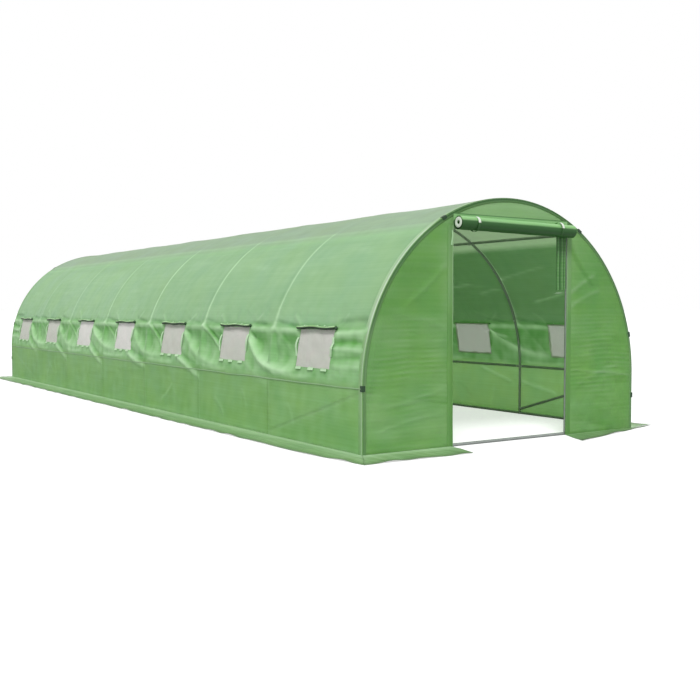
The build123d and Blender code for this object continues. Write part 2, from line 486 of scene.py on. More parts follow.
def ball(shape: Shape, at: Array, sizes: tuple[float, float, float], **more: object) -> None:
    """Add a rounded knob with three half sizes."""
    turn, tilt = lattice(np.linspace(0, 2 * math.pi, 17), np.linspace(-math.pi / 2, math.pi / 2, 9))
    point = np.stack([np.cos(tilt) * np.cos(turn), np.cos(tilt) * np.sin(turn), np.sin(tilt)], -1)
    shape.grid(np.asarray(at) + point * np.array(sizes), **more)


# Finishes


class Tree:
    """The node tree of a material or a world, with short calls for its nodes."""

    def __init__(self, made: bpy.types.ID, output: str = "OutputMaterial") -> None:
        """Empty the tree of a material or world and add its output."""
        self.made = made
        self.made.use_nodes = True
        self.tree = self.made.node_tree
        self.tree.nodes.clear()
        self.out = self.add(output)

    def add(self, kind: str, inputs: dict | None = None, **settings: object) -> bpy.types.Node:
        """Add a node.

        Args:
            kind: Its type, without the leading ShaderNode.
            inputs: Values or sockets by input name or number.
            settings: The node's own settings.

        Returns:
            The new node.
        """
        node = self.tree.nodes.new("ShaderNode" + kind)
        for key, value in settings.items():
            setattr(node, key, value)
        for key, value in (inputs or {}).items():
            if isinstance(value, Socket):
                self.tree.links.new(value, node.inputs[key])
            else:
                node.inputs[key].default_value = value
        return node

    def sum(self, operation: str, first: object, second: object = 0.0, clamp: bool = False) -> Socket:
        """A Math node's result."""
        return self.add("Math", {0: first, 1: second}, operation=operation, use_clamp=clamp).outputs[0]

    def mix(self, share: object, first: object, second: object) -> Socket:
        """A colour mixed from two by a share."""
        return self.add("Mix", {0: share, 6: first, 7: second}, data_type="RGBA").outputs[2]

    def scaled(self, vector: object, scale: tuple[float, float, float]) -> Socket:
        """A vector with each axis scaled by itself."""
        return self.add("VectorMath", {0: vector, 1: scale}, operation="MULTIPLY").outputs[0]

    def ramp(self, value: object, low: float, high: float) -> Socket:
        """A value's place between two limits, as 0 to 1."""
        return self.add("MapRange", {"Value": value, "From Min": low, "From Max": high}).outputs[0]

    def noise(self, vector: object, scale: float, detail: float = 3.0) -> Socket:
        """Fractal noise of about 0 to 1."""
        return self.add("TexNoise", {"Vector": vector, "Scale": scale, "Detail": detail}).outputs[0]

    def bands(self, vector: object, pitch: float, direction: str, bend: float = 0.0) -> Socket:
        """Soft bands of 0 to 1 at a pitch in metres."""
        inputs = {"Vector": vector, "Scale": math.pi / 10 / pitch, "Distortion": bend}
        return self.add("TexWave", inputs, bands_direction=direction).outputs[1]

    def finish(self, shader: Socket) -> bpy.types.ID:
        """Join the shader to the output and hand back the material or world."""
        self.tree.links.new(shader, self.out.inputs[0])
        return self.made


def rgb(red: float, green: float, blue: float) -> Colour:
    """A screen colour of 0 to 255 as a linear one of 0 to 1."""
    parts = [value / 255 for value in (red, green, blue)]
    return tuple(p / 12.92 if p <= 0.04045 else ((p + 0.055) / 1.055) ** 2.4 for p in parts)


def full(colour: Colour) -> tuple[float, float, float, float]:
    """A colour with its alpha."""
    return (*colour, 1.0)


# The materials made so far, by name.
MADE: dict[str, bpy.types.Material] = {}


@dataclass(frozen=True)
class Finish:
    """What every finish has.

    Args:
        name: Name of the material.
        colour: Its main colour.
    """

    name: str
    colour: Colour

    def material(self) -> bpy.types.Material:
        """The finish's material, made once."""
        if self.name not in MADE:
            MADE[self.name] = self.make(Tree(bpy.data.materials.new(self.name)))
        return MADE[self.name]

    def make(self, tree: Tree) -> bpy.types.Material:
        """Build the material's nodes."""
        raise NotImplementedError


def warmer(colour: Colour) -> Colour:
    """A colour a little yellower and lighter."""
    red, green, blue = colour
    return (red * 1.22, green * 1.08, blue * 0.98)


@dataclass(frozen=True)
class Film(Finish):
    """Woven polyethylene film with a scrim.

    Args:
        pale: Colour of the painted highlights over tubes, on fold ridges and doubled edges, and of paler
            streaks and lines.
        deep: Colour of the painted shade in creases, hollows and undersides; the weave is darkened with it
            too.
        through: Share of light that passes through.
        clear: Share that is seen straight through.
        rough: Roughness of its face.
        gleam: Strength of its gloss.
        thread: Distance between two threads of the weave.
        rib: Distance between two of the faint cross lines.
        streak: Strength of the lengthwise streaks.
        lines: Strength of the faint cross lines.
        glow: How much of the pale colour shows in the light that comes through, a painted highlight where the
            tone is high.
        arch: Colour over the windows, where the cover turns to the sky, paler as a painted top light and
            sheen, or None.
        strip_face: The same in the window strip.
        crown_face: The same by the ridge, greyer as a painted sheen.
        lit: Colour of the light that comes through.
        strip_lit: The same in the window strip, darker as a painted shade inside.
        arch_lit: The same over the windows, darker as a painted shade inside.
        crown_lit: The same by the ridge, paler as a painted light inside.
        waist: Distances over the cover where the window strip starts, and where it is clear of the seam.
        turn: Distances over the cover where the colour over the windows starts, and where it is full.
        ridge: Distance over the cover of the ridge.
        crown_light: Distances from the ridge where its light starts, and where it is full.
        crown_tint: Distances from the ridge where its colour starts, and where it is full.
    """

    pale: Colour = rgb(226, 255, 216)
    deep: Colour = rgb(40, 92, 38)
    through: float = 0.34
    clear: float = 0.03
    rough: float = 0.42
    gleam: float = 0.32
    thread: float = 0.006
    rib: float = 0.027
    streak: float = 0.25
    lines: float = 0.12
    glow: float = 0.0
    arch: Colour | None = None
    strip_face: Colour = rgb(112, 184, 96)
    crown_face: Colour = rgb(150, 180, 151)
    lit: Colour = rgb(138, 192, 118)
    strip_lit: Colour = rgb(78, 152, 60)
    arch_lit: Colour = rgb(38, 86, 33)
    crown_lit: Colour = rgb(177, 206, 162)
    waist: tuple[float, float] = (0.50, 0.56)
    turn: tuple[float, float] = (0.925, 1.00)
    ridge: float = 2.856
    crown_light: tuple[float, float] = (1.04, 0.96)
    crown_tint: tuple[float, float] = (0.96, 0.82)

    def zoned(self, tree: Tree, cut: Socket, patches: Socket, face: Socket,
              lit: Socket) -> tuple[Socket, Socket]:
        """Change the film's colours by the distance over the cover, painting top light, sheen and inside
        shade by zone.

        Args:
            tree: The material's tree.
            cut: Place on the flat sheet.
            patches: Where the film is yellower, from 0 to 1.
            face: Colour of its face.
            lit: Colour of the light that comes through.

        Returns:
            The changed colours of its face and of the light.
        """
        level = tree.add("SeparateXYZ", {0: cut}).outputs["Y"]
        waist, arched = tree.ramp(level, *self.waist), tree.ramp(level, *self.turn)
        off = tree.sum("ABSOLUTE", tree.sum("SUBTRACT", level, self.ridge))
        light, tint = tree.ramp(off, *self.crown_light), tree.ramp(off, *self.crown_tint)
        # The face is paler over the arch and greyer by the ridge: painted top light and sheen.
        for share, colour in ((waist, self.strip_face), (arched, self.arch), (tint, self.crown_face)):
            patched = tree.mix(tree.sum("MULTIPLY", patches, 0.7), full(colour), full(warmer(colour)))
            face = tree.mix(share, face, patched)
        # The light through is darker over the strip and the arch, a painted shade inside, and paler by the
        # ridge, a painted light.
        for share, colour in ((waist, self.strip_lit), (arched, self.arch_lit), (light, self.crown_lit)):
            lit = tree.mix(share, lit, full(colour))
        return face, lit

    def make(self, tree: Tree) -> bpy.types.Material:
        """Build the film's nodes: painted highlight and shade from the tone, patches, streaks, weave and
        light that passes through.
        """
        cut = tree.add("Attribute", attribute_name="cut").outputs["Vector"]
        tone = tree.add("Attribute", attribute_name="tone").outputs["Fac"]
        patches = tree.ramp(tree.noise(cut, 2.6, 3.0), 0.34, 0.66)
        streaks = tree.noise(tree.scaled(cut, (1.1, 22.0, 1.0)), 1.0, 4.0)
        weave = tree.sum("MULTIPLY", tree.bands(cut, self.thread, "X"), tree.bands(cut, self.thread, "Y"))
        ribs = tree.bands(cut, self.rib, "Y", 1.2)
        face = tree.mix(patches, full(self.colour), full(warmer(self.colour)))
        lit = tree.mix(patches, full(self.lit), full(warmer(self.lit)))
        if self.arch:
            face, lit = self.zoned(tree, cut, patches, face, lit)
        # Paler on streaks and cross lines and where the tone paints a highlight, painted shade where the tone
        # is under 0, deeper by the weave.
        streaked = tree.sum("MULTIPLY", tree.sum("SUBTRACT", streaks, 0.42, True), self.streak * 2.6)
        lined = tree.sum("MULTIPLY", ribs, self.lines)
        weight = tree.sum("ADD", tree.sum("ADD", streaked, lined), tree.sum("MAXIMUM", tone, 0.0), True)
        painted_shade = tree.sum("MULTIPLY", tree.sum("MINIMUM", tone, 0.0), -1.0, True)
        face = tree.mix(painted_shade, tree.mix(weight, face, full(self.pale)), full(self.deep))
        face = tree.mix(tree.sum("MULTIPLY", weave, 0.10), face, full(self.deep))
        relief = tree.sum("ADD", weave, tree.sum("MULTIPLY", streaks, 1.4))
        bump = tree.add("Bump", {"Strength": 0.30, "Distance": 0.0012, "Height": relief}).outputs[0]
        gloss = tree.sum("ADD", tree.sum("MULTIPLY", patches, 0.14), self.rough - 0.07)
        inputs = {"Base Color": face, "Roughness": gloss, "Specular IOR Level": self.gleam, "Normal": bump}
        skin = tree.add("BsdfPrincipled", inputs).outputs[0]
        # The light that comes through gets a painted highlight where the tone is high and painted shade where
        # it is under 0.
        painted_highlight = tree.sum("MULTIPLY", tree.sum("SUBTRACT", tone, 0.25, True), self.glow)
        lit = tree.mix(painted_highlight, lit, full(self.pale))
        lit = tree.mix(tree.sum("MULTIPLY", painted_shade, 0.7), lit, full(self.deep))
        glow = tree.add("BsdfTranslucent", {"Color": lit, "Normal": bump}).outputs[0]
        body = tree.add("MixShader", {0: self.through, 1: skin, 2: glow}).outputs[0]
        clear = tree.add("BsdfTransparent", {"Color": full(self.pale)}).outputs[0]
        return tree.finish(tree.add("MixShader", {0: self.clear, 1: body, 2: clear}).outputs[0])


@dataclass(frozen=True)
class Steel(Finish):
    """Galvanised tube with a faint spangle.

    Args:
        rough: Roughness of the zinc.
    """

    rough: float = 0.42

    def make(self, tree: Tree) -> bpy.types.Material:
        """Build the zinc's nodes."""
        place = tree.add("TexCoord").outputs["Object"]
        spangle = tree.add("TexVoronoi", {"Vector": place, "Scale": 90.0}).outputs["Color"]
        cloud = tree.noise(place, 14.0, 5.0)
        dark = tuple(part * 0.62 for part in self.colour)
        colour = tree.mix(cloud, full(dark), full(self.colour))
        flecks = tree.sum("MULTIPLY", spangle, 0.16)
        gloss = tree.sum("ADD", flecks, self.rough - 0.05)
        bump = tree.add("Bump", {"Strength": 0.15, "Distance": 0.0006, "Height": cloud}).outputs[0]
        inputs = {"Base Color": colour, "Metallic": 0.75, "Roughness": gloss, "Normal": bump}
        return tree.finish(tree.add("BsdfPrincipled", inputs).outputs[0])


@dataclass(frozen=True)
class Webbing(Finish):
    """Woven tape of plastic yarn.

    Args:
        pitch: Distance between two yarns.
    """

    pitch: float = 0.0024

    def make(self, tree: Tree) -> bpy.types.Material:
        """Build the tape's nodes."""
        cut = tree.add("Attribute", attribute_name="cut").outputs["Vector"]
        yarn = tree.sum("MULTIPLY", tree.bands(cut, self.pitch, "X"), tree.bands(cut, self.pitch, "Y"))
        soil = tree.noise(cut, 30.0, 4.0)
        dark = tuple(part * 0.68 for part in self.colour)
        colour = tree.mix(tree.sum("MULTIPLY", soil, 0.5), full(self.colour), full(dark))
        bump = tree.add("Bump", {"Strength": 0.5, "Distance": 0.0008, "Height": yarn}).outputs[0]
        inputs = {"Base Color": colour, "Roughness": 0.82, "Normal": bump}
        return tree.finish(tree.add("BsdfPrincipled", inputs).outputs[0])


@dataclass(frozen=True)
class Net(Finish):
    """Fine insect net, woven of thin threads.

    Args:
        pitch: Distance between two threads.
        open_share: Share of light that passes between them.
    """

    pitch: float = 0.003
    open_share: float = 0.10

    def make(self, tree: Tree) -> bpy.types.Material:
        """Build the net's nodes: thread bands and the openings between them."""
        cut = tree.add("Attribute", attribute_name="cut").outputs["Vector"]
        first, second = tree.bands(cut, self.pitch, "X"), tree.bands(cut, self.pitch, "Y")
        threads = tree.sum("MAXIMUM", first, second)
        cloud = tree.noise(cut, 9.0, 3.0)
        rosy = (self.colour[0] * 1.05, self.colour[1] * 0.93, self.colour[2] * 0.97)
        colour = tree.mix(cloud, full(self.colour), full(rosy))
        bump = tree.add("Bump", {"Strength": 0.4, "Distance": 0.0006, "Height": threads}).outputs[0]
        face = tree.add("BsdfPrincipled", {"Base Color": colour, "Roughness": 0.7, "Normal": bump}).outputs[0]
        glow = tree.add("BsdfTranslucent", {"Color": colour}).outputs[0]
        body = tree.add("MixShader", {0: 0.12, 1: face, 2: glow}).outputs[0]
        gaps = tree.sum("MULTIPLY", tree.sum("SUBTRACT", 1.0, threads, True), 2 * self.open_share)
        holes = tree.sum("ADD", gaps, self.open_share / 2)
        clear = tree.add("BsdfTransparent").outputs[0]
        return tree.finish(tree.add("MixShader", {0: holes, 1: body, 2: clear}).outputs[0])


@dataclass(frozen=True)
class Moulded(Finish):
    """Moulded plastic with a fine grain.

    Args:
        rough: Roughness of its skin.
    """

    rough: float = 0.45

    def make(self, tree: Tree) -> bpy.types.Material:
        """Build the plastic's nodes."""
        place = tree.add("TexCoord").outputs["Object"]
        grain = tree.noise(place, 260.0, 2.0)
        cloud = tree.noise(place, 20.0, 3.0)
        light = tuple(min(1.0, part * 1.5 + 0.01) for part in self.colour)
        colour = tree.mix(tree.sum("MULTIPLY", cloud, 0.5), full(self.colour), full(light))
        bump = tree.add("Bump", {"Strength": 0.2, "Distance": 0.0004, "Height": grain}).outputs[0]
        inputs = {"Base Color": colour, "Roughness": self.rough, "Normal": bump}
        return tree.finish(tree.add("BsdfPrincipled", inputs).outputs[0])


# Over the windows the cover gets a paler face, a painted top light and sheen, and darker light through, a
# painted shade.
COVER_FILM = Film(
    "cover_sheet_film", rgb(122, 175, 101), pale=rgb(214, 253, 203), deep=rgb(34, 104, 28), through=0.3,
    streak=0.12, lines=0.035, glow=1.0, arch=rgb(152, 204, 150), lit=rgb(174, 241, 149),
)
END_FILM = Film("end_sheet_film", rgb(125, 188, 101), through=0.5, clear=0.04, lines=0.02, streak=0.12)
SKIRT_FILM = Film("skirt_sheet_film", rgb(108, 156, 94), deep=rgb(92, 112, 84), through=0.12, clear=0.0)
ROLL_FILM = Film(
    "door_sheet_film", rgb(112, 180, 100), deep=rgb(34, 84, 32), through=0.08, clear=0.0, rough=0.36,
)
HEM_FILM = Film("hem_sheet_film", rgb(134, 190, 118), pale=rgb(238, 255, 232), through=0.35, clear=0.0)
FLAP_FILM = Film("flap_sheet_film", rgb(132, 186, 116), deep=rgb(14, 44, 16), through=0.10, clear=0.0)
ZINC = Steel("galvanised_tube", rgb(176, 182, 178))
BRIGHT_ZINC = Steel("bright_zinc", rgb(214, 217, 218), rough=0.30)
TAPE = Webbing("white_webbing", rgb(232, 240, 226))
TAB_TAPE = Webbing("tab_webbing", rgb(196, 230, 186))
NET = Net("insect_net", rgb(212, 215, 207))
DARK_PLASTIC = Moulded("dark_plastic", rgb(22, 58, 26))


# The cover


@dataclass(frozen=True)
class Cover:
    """The arched film cover: roof, window strips and side walls.

    Args:
        size: Sizes of the frame.
        sag: How deep the film hangs between the hoops.
        strip_top: Angle above the spring line where the window strip ends.
        coarse: Grid step on the roof.
        fine: Grid step in the window strip.
        lap: How far one sheet runs under the next.
        swags: Strength of the swag under the window before each inner hoop.
        scoops: Strength of the swag beside each inner hoop, between two windows.
        ribs: Strength of the painted highlight over each hoop.
        meet: Share of the gap between two windows where the crease over it breaks.
        brace_top: Height of a corner brace's upper end.
        brace_foot: Height of its lower end.
        tuck: How far short of the cover's ends the sheets stop, under the hems.
        rib_grid: Extra grid lines beside each inner hoop.
    """

    size: Measures
    sag: float = 0.008
    strip_top: float = math.radians(30)
    coarse: float = 0.025
    fine: float = 0.0125
    lap: float = 0.002
    swags: tuple[float, ...] = (0.25, 1.0, 1.0, 0.9, 0.75, 0.6)
    scoops: tuple[float, ...] = (1.0, 0.45, 0.30, 0.60, 0.35, 0.50)
    ribs: tuple[float, ...] = (1.0, 0.9, 1.0, 1.0, 0.65, 0.5, 0.35, 1.0)
    meet: float = 0.44
    brace_top: float = 0.46
    brace_foot: float = 0.03
    tuck: float = 0.016
    rib_grid: tuple[float, ...] = (-0.021, -0.014, -0.007, 0, 0.007, 0.014, 0.021)

    def gaps(self, side: Side, y: Array, up: Array) -> tuple[Array, Array]:
        """The film between the windows: a band, a scoop under it, a swag and creases in each gap.

        Args:
            side: The long side.
            y: Places along the tunnel.
            up: Distances over the cover from the ground.

        Returns:
            Relief, and tone that paints a highlight on the swag and shelf and shade in the crease and under
            the band.
        """
        size = self.size
        lift, tone = np.zeros(np.broadcast(y, up).shape), np.zeros(np.broadcast(y, up).shape)
        half, head, sill = size.window / 2, size.up(size.head), size.up(size.sill)
        for number, (near, far) in enumerate(zip(size.windows, size.windows[1:])):
            draw = np.random.default_rng(40 + number + 20 * (side is Side.RIGHT))
            least, most = (0.85, -0.02, 2.2, 0.5, 0.5), (1.15, 0.05, 3.8, 1.2, 1.1)
            strength, low, lean, left, right = draw.uniform(least, most)
            weight = draw.uniform((0.1, 0.3), (1.0, 1.0)) if number else (0.9, 1.0)
            swing = self.scoops[number]
            # From the window behind (part 0) to the one before it (part 1), the swag falls from under
            # the head to the sill, and the band runs level over it.
            soft = 1.0 + 0.25 * ripple(y, up, 140 + number, 0.30)
            start, stop = far - half, near + half
            part = (start - y) / (start - stop)
            inside = ease((part + 0.02) / 0.10) * ease((1.02 - part) / 0.10)
            drop = 1 - (1 - np.clip(part, 0, 1)) ** lean
            swag = head - 0.05 - (head - sill - 0.03 + low) * drop
            band = head - 0.030 - 0.012 * part
            # The film hollows between the two, with a ridge on the swag, a shelf on the band and a crease
            # over it that breaks at meet.
            depth = np.clip((up - swag) / np.maximum(band - swag, 0.02), 0, 1)
            bowl = -0.045 * np.sin(math.pi * depth**0.8) ** 1.2 * ease((band - swag) / 0.12)
            ridge = bell((up - swag) / 0.040) * ease((1.05 - part) / 0.3)
            shelf = bell((up - band - 0.022) / 0.026)
            before = part < self.meet
            fall = np.where(before, left * (0.040 - 0.10 * part), right * (0.050 - 0.13 * (part - 0.46)))
            crease = bell((up - head - 0.026 - fall) / 0.014) * ease(np.abs(part - self.meet) / 0.08)
            crease *= np.where(before, *weight) * (0.8 + 0.3 * ripple(y, up, 180 + number, 0.25))
            shape = bowl * (0.5 + 0.5 * swing) + 0.018 * swing * ridge + 0.014 * shelf - 0.012 * crease
            lift += strength * soft * inside * shape
            # Painted highlight on the swag's ridge and on the shelf, painted shade in the crease and under
            # the band.
            under = ease((band - up) / 0.02) * bell((band - up) / 0.15) * ease((up - swag) / 0.05)
            painted_light_and_shade = 0.46 * swing * ridge + 0.36 * weight[1] * shelf - 0.46 * crease - 0.24 * under
            tone += inside * soft * painted_light_and_shade
        return lift, tone

    def folds(self, side: Side) -> list[Fold]:
        """All folds of a side and of the roof beside it, in the order of their random draws."""
        draw = np.random.default_rng(7 if side is Side.LEFT else 8)
        return [
            *self.end_bands(draw),
            *self.seam_folds(draw),
            *self.placed_folds(side),
            *self.loose_folds(draw),
        ]

    def end_bands(self, draw: np.random.Generator) -> list[Fold]:
        """Level bands between each end hoop and the window beside it."""
        size, folds = self.size, []
        half, head, sill = size.window / 2, size.up(size.head), size.up(size.sill)
        for index, way in ((0, 1), (-1, -1)):
            hoop, edge = size.hoops[index], size.windows[index] - way * half
            for level, height, width in END_BANDS:
                v = sill + (head - sill) * level
                rise = draw.uniform(-0.008, 0.012)
                start, end = (hoop + way * 0.02, v + 0.010 + rise), (edge - way * 0.01, v - rise)
                folds.append(Fold(start, end, height / 1000, width / 1000, draw.uniform(-0.012, 0.012)))
        return folds

    def seam_folds(self, draw: np.random.Generator) -> list[Fold]:
        """Folds at each inner hoop: a swag over the waist seam and a pull down beside the window."""
        size, folds = self.size, []
        head, sill = size.up(size.head), size.up(size.sill)
        for hoop, swag in zip(size.hoops[1:-1], self.swags):
            back, dip = draw.uniform(0.42, 0.60), draw.uniform(-0.09, -0.03)
            start, end = (hoop + back, sill + draw.uniform(-0.03, 0.02)), (hoop - 0.02, size.leg + dip)
            folds.append(Fold(start, end, 0.017 * swag, 0.030, draw.uniform(0.0, 0.03)))
            shade = ((start[0] - 0.06, start[1] + 0.05), (end[0] - 0.04, end[1] + 0.075))
            folds.append(Fold(*shade, -0.010 * swag, 0.030, draw.uniform(0.0, 0.03)))
            ahead = (hoop - draw.uniform(0.55, 0.80), size.leg + draw.uniform(0.02, 0.06))
            folds.append(Fold((hoop - 0.05, size.leg + 0.045), ahead, 0.007, 0.018, 0.012))
            corner = (hoop - (size.bay - size.window) / 2 + 0.05, sill + draw.uniform(0.02, 0.10))
            top = (hoop + draw.uniform(0.0, 0.06), head + 0.02)
            strength = draw.uniform(0.4, 1.0) * swag
            folds.append(Fold(top, corner, 0.014 * strength, 0.016, -0.015))
            beside = ((top[0] - 0.040, top[1]), (corner[0] - 0.03, corner[1] + 0.03))
            folds.append(Fold(*beside, -0.015 * strength, 0.018, -0.015))
        return folds

    def placed_folds(self, side: Side) -> list[Fold]:
        """Folds at set places in the roof, and in the right side where the doorway shows it."""
        end, girth, folds = self.size.end, self.size.girth, []
        for (a, b), (c, d) in ROOF_FOLDS:
            first, last = (b, d) if side is Side.RIGHT else (girth - b, girth - d)
            folds.append(Fold((a - end, first), (c - end, last), 0.009, 0.016, 0.01))
        if side is Side.RIGHT:
            folds += [Fold((a - end, b), (c - end, d), 0.018, 0.018) for (a, b), (c, d) in SIDE_FOLDS]
        return folds

    def loose_folds(self, draw: np.random.Generator) -> list[Fold]:
        """Light folds in each bay: over the roof, in the wall and at the window's upper corners."""
        size, folds = self.size, []
        half, head = size.window / 2, size.up(size.head)
        for window in size.windows:
            for half_roof in (0, 1):
                low, rise = draw.uniform(1.32, 1.70), draw.uniform(-0.02, 0.12)
                over = [low, low + rise]
                if half_roof:
                    over = [size.girth - level for level in over]
                at = draw.uniform(-0.45, -0.10)
                folds.append(Fold((window + at, over[0]), (window + at + 0.5, over[1]), 0.0035, 0.030, 0.02))
            for _ in range(3):
                at, slope = draw.uniform(-0.30, 0.30), draw.uniform(-0.35, 0.35)
                low = draw.uniform(0.06, 0.22)
                start, end = (window + at, low), (window + at + slope, low + draw.uniform(0.12, 0.24))
                folds.append(Fold(start, end, draw.uniform(-0.004, 0.006), 0.018, 0.02))
            for way in (-1, 1):
                corner = (window + way * (half + 0.01), head + 0.01)
                rise = (window + way * (half + draw.uniform(0.10, 0.2)), head + draw.uniform(0.10, 0.16))
                folds.append(Fold(corner, rise, 0.006, 0.018, 0.01))
        return folds

    def relief(self, side: Side, y: Array, up: Array) -> Array:
        """How far the film stands out of the cover's plain form.

        Args:
            side: The long side that the distances start from.
            y: Places along the tunnel.
            up: Distances over the cover from the ground.

        Returns:
            Distances outward.
        """
        size = self.size
        part = np.clip((y - size.hoops[0]) / size.bay, 0, len(size.hoops) - 1) % 1.0
        turn = (up - size.leg) / size.radius
        lines = (-size.leg / size.radius, 0.0, size.shoulder, math.pi / 2, math.pi - size.shoulder, math.pi)
        between = np.zeros(up.shape)
        for low, high in zip(lines, lines[1:]):
            step = np.clip((turn - low) / (high - low), 0, 1)
            between += 4 * step * (1 - step)
        # The film sags between the tubes and carries the gathers and two sizes of waves.
        hang = -self.sag * 4 * part * (1 - part) * between
        hang += self.gathers(side, y, up)
        hang += 0.0022 * ripple(y, up, 11 + side.value, 0.55, 2.5)
        hang += 0.0010 * ripple(y, up, 21 + side.value, 0.20, 1.6)
        # Only where it is free of tubes and corner braces may it sink in.
        hoop = np.min([np.abs(y - place) for place in size.hoops], axis=0)
        rail = np.min([np.abs(turn - line) for line in lines], axis=0) * size.radius
        free = ease((hoop - 0.010) / 0.06) * ease((rail - 0.010) / 0.06)
        braced = (np.abs(y) > size.hoops[-2] - 0.05) & (up < size.leg)
        free = np.where(braced, 0.0, free)
        return np.maximum(hang, 0.0) * 0.9 + np.minimum(hang, 0.0) * free

    def zone(self, up: Array) -> Array:
        """Where the gathered film is: 1 from the waist to over the windows, 0 beyond."""
        return ease((up - self.size.leg) / 0.06) * ease((self.size.leg + 0.80 - up) / 0.25)

    def gathers(self, side: Side, y: Array, up: Array) -> Array:
        """Relief of the scoops between the windows and of the folds beside them."""
        crumple = 0.0016 * ripple(y, up, 230, 0.14) + 0.0012 * ripple(y, up, 231, 0.08)
        return (self.gaps(side, y, up)[0] + crumple) * self.zone(up) + pile(self.folds(side), y, up)

    def tone(self, side: Side, y: Array, up: Array) -> Array:
        """Painted highlights over the hoops, where the film lies on steel, and along stretched folds, with
        painted shade in creases.
        """
        size = self.size
        nearest = np.argmin([np.abs(y - place) for place in size.hoops], axis=0)
        off = y - np.array(size.hoops)[nearest]
        head, arm = size.up(size.head), size.leg + size.radius * size.shoulder
        level = np.minimum(up, size.girth - up)
        # A painted highlight over each hoop with a painted shade beside it, wider by the window's head and
        # fading over the shoulder tube, and a painted light and a painted dark edge on its foot in the wall.
        wide = 0.017 + 0.030 * np.exp(-np.maximum(up - head, 0) / 0.07)
        rib = 0.62 * bell(off / wide) - 0.10 * bell((off - 0.045) / 0.025)
        rib *= np.array(self.ribs)[nearest] * ease((up - head + 0.03) / 0.05)
        rib *= 1 - 0.80 * ease((level - arm + 0.10) / 0.18)
        foot = 0.14 * bell((off + 0.012) / 0.010) - 0.10 * bell((off - 0.010) / 0.012)
        rib += foot * ease((size.leg - up) / 0.03)
        # Painted highlights over the shoulder and waist tubes and at the ground.
        rails = 0.26 * bell((level - arm) / 0.022) + 0.14 * bell((up - size.leg) / 0.022)
        rails += 0.16 * bell(up / 0.035)
        # The gathers between the windows and the folds carry painted highlights on ridges and painted shade
        # in valleys.
        gap = self.gaps(side, y, up)[1] * self.zone(up)
        fold = pile(self.folds(side), y, up)
        # The window strip is paler and blotched, and the roof pales towards the shoulder tube.
        strip = self.zone(up) * ease((head + 0.02 - up) / 0.05)
        base = 0.06 + (0.31 + 0.08 * ripple(y, up, 230, 0.14)) * strip
        base = base + 0.10 * ease((level - head) / 0.10) * ease((arm - level) / 0.45)
        # Painted light along the corner braces, over their shadow through the film.
        base = base + 0.12 * self.brace(y, up)
        base = base + 0.04 * ripple(y, up, 240, 0.36) + 0.03 * ripple(y, up, 241, 0.13)
        return base + rib + rails + gap + np.clip(fold * 30, 0, 0.50) + np.clip(fold * 24, -0.40, 0)

    def brace(self, y: Array, up: Array) -> Array:
        """How much painted light the wall gets along the corner braces behind it, from 0 to 1, over their
        shadow through the film.
        """
        size, total = self.size, np.zeros(np.broadcast(y, up).shape)
        for near, far in ((size.hoops[0], size.hoops[1]), (size.hoops[-1], size.hoops[-2])):
            line = Fold((near, self.brace_top), (far, self.brace_foot), 1.0, 0.016)
            total += line.relief(y, up)
        return total

    def sheet(self, name: str, side: Side, low: float, high: float, step: float, holes: bool) -> Shape:
        """A sheet of the cover between two distances from the ground.

        Args:
            name: Word for the log.
            side: The long side that the distances start from.
            low: Lower edge.
            high: Upper edge.
            step: Grid step.
            holes: Whether it has the window holes.

        Returns:
            The shape.
        """
        size = self.size
        along = np.linspace(self.tuck - size.end, size.end - self.tuck, round(2 * size.end / step) + 1)
        beside = [hoop + off for hoop in size.hoops[1:-1] for off in self.rib_grid]
        along = np.unique(np.concatenate([along, beside]))
        levels = np.linspace(low, high, max(2, round((high - low) / step)) + 1)
        keep = None
        if holes:
            edges = [w + s * size.window / 2 for w in size.windows for s in (-1, 1)]
            along = snapped(along, edges)
            sill, head = size.up(size.sill), size.up(size.head)
            levels = snapped(levels, [sill, head])
            mid_y, mid_up = (along[:-1] + along[1:]) / 2, (levels[:-1] + levels[1:]) / 2
            off = np.min([np.abs(mid_y - window) for window in size.windows], axis=0)
            open_y, open_up = off < size.window / 2, (mid_up > sill) & (mid_up < head)
            keep = ~(open_up[:, None] & open_y[None, :])
        y, up = lattice(along, levels)
        points = size.over(side, y, up, self.relief(side, y, up) - HALF_FILM)
        LOG.info("%s sheet: %d points", name, points.size // 3)
        flip = side is Side.LEFT
        return Shape().grid(points, np.stack([y, up], -1), self.tone(side, y, up), keep, flip=flip)

    def build(self) -> None:
        """Build the roof, the window strips and the side walls."""
        size = self.size
        strip_top = size.leg + size.radius * self.strip_top
        far_top = size.leg + size.radius * (math.pi - self.strip_top)
        roof = self.sheet("roof", Side.LEFT, strip_top - self.lap, far_top + self.lap, self.coarse, False)
        piece = roof.build("roof_sheet", COVER_FILM, slot="roof_film")
        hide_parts("roof_lower_left", "roof_lower_right", "roof_upper_left", "roof_upper_right")
        for side in Side:
            word = side.word
            band = self.sheet("window strip", side, size.leg, strip_top, self.fine, True)
            piece = band.build(f"window_strip_sheet_{word}", COVER_FILM, slot="roof_film")
            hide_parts(f"window_strip_{word}")
            hole = size.window * (size.up(size.head) - size.up(size.sill))
            wall = self.sheet("side wall", side, FOOT, size.leg, self.coarse * 0.8, False)
            piece = wall.build(f"side_wall_sheet_{word}", COVER_FILM, slot="side_film")
            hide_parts(f"side_wall_{word}")
            self.seam(side)

    def seam(self, side: Side) -> None:
        """The waist seam: a narrow doubled lap where wall and window strip meet."""
        size = self.size
        y = np.linspace(-size.end + 0.02, size.end - 0.02, 401)
        shape = Shape()
        up = np.full(y.shape, size.leg - 0.003) + 0.003 * ripple(y, y * 0, 31, 0.8)
        line = size.over(side, y, up, self.relief(side, y, up) + 0.0022)
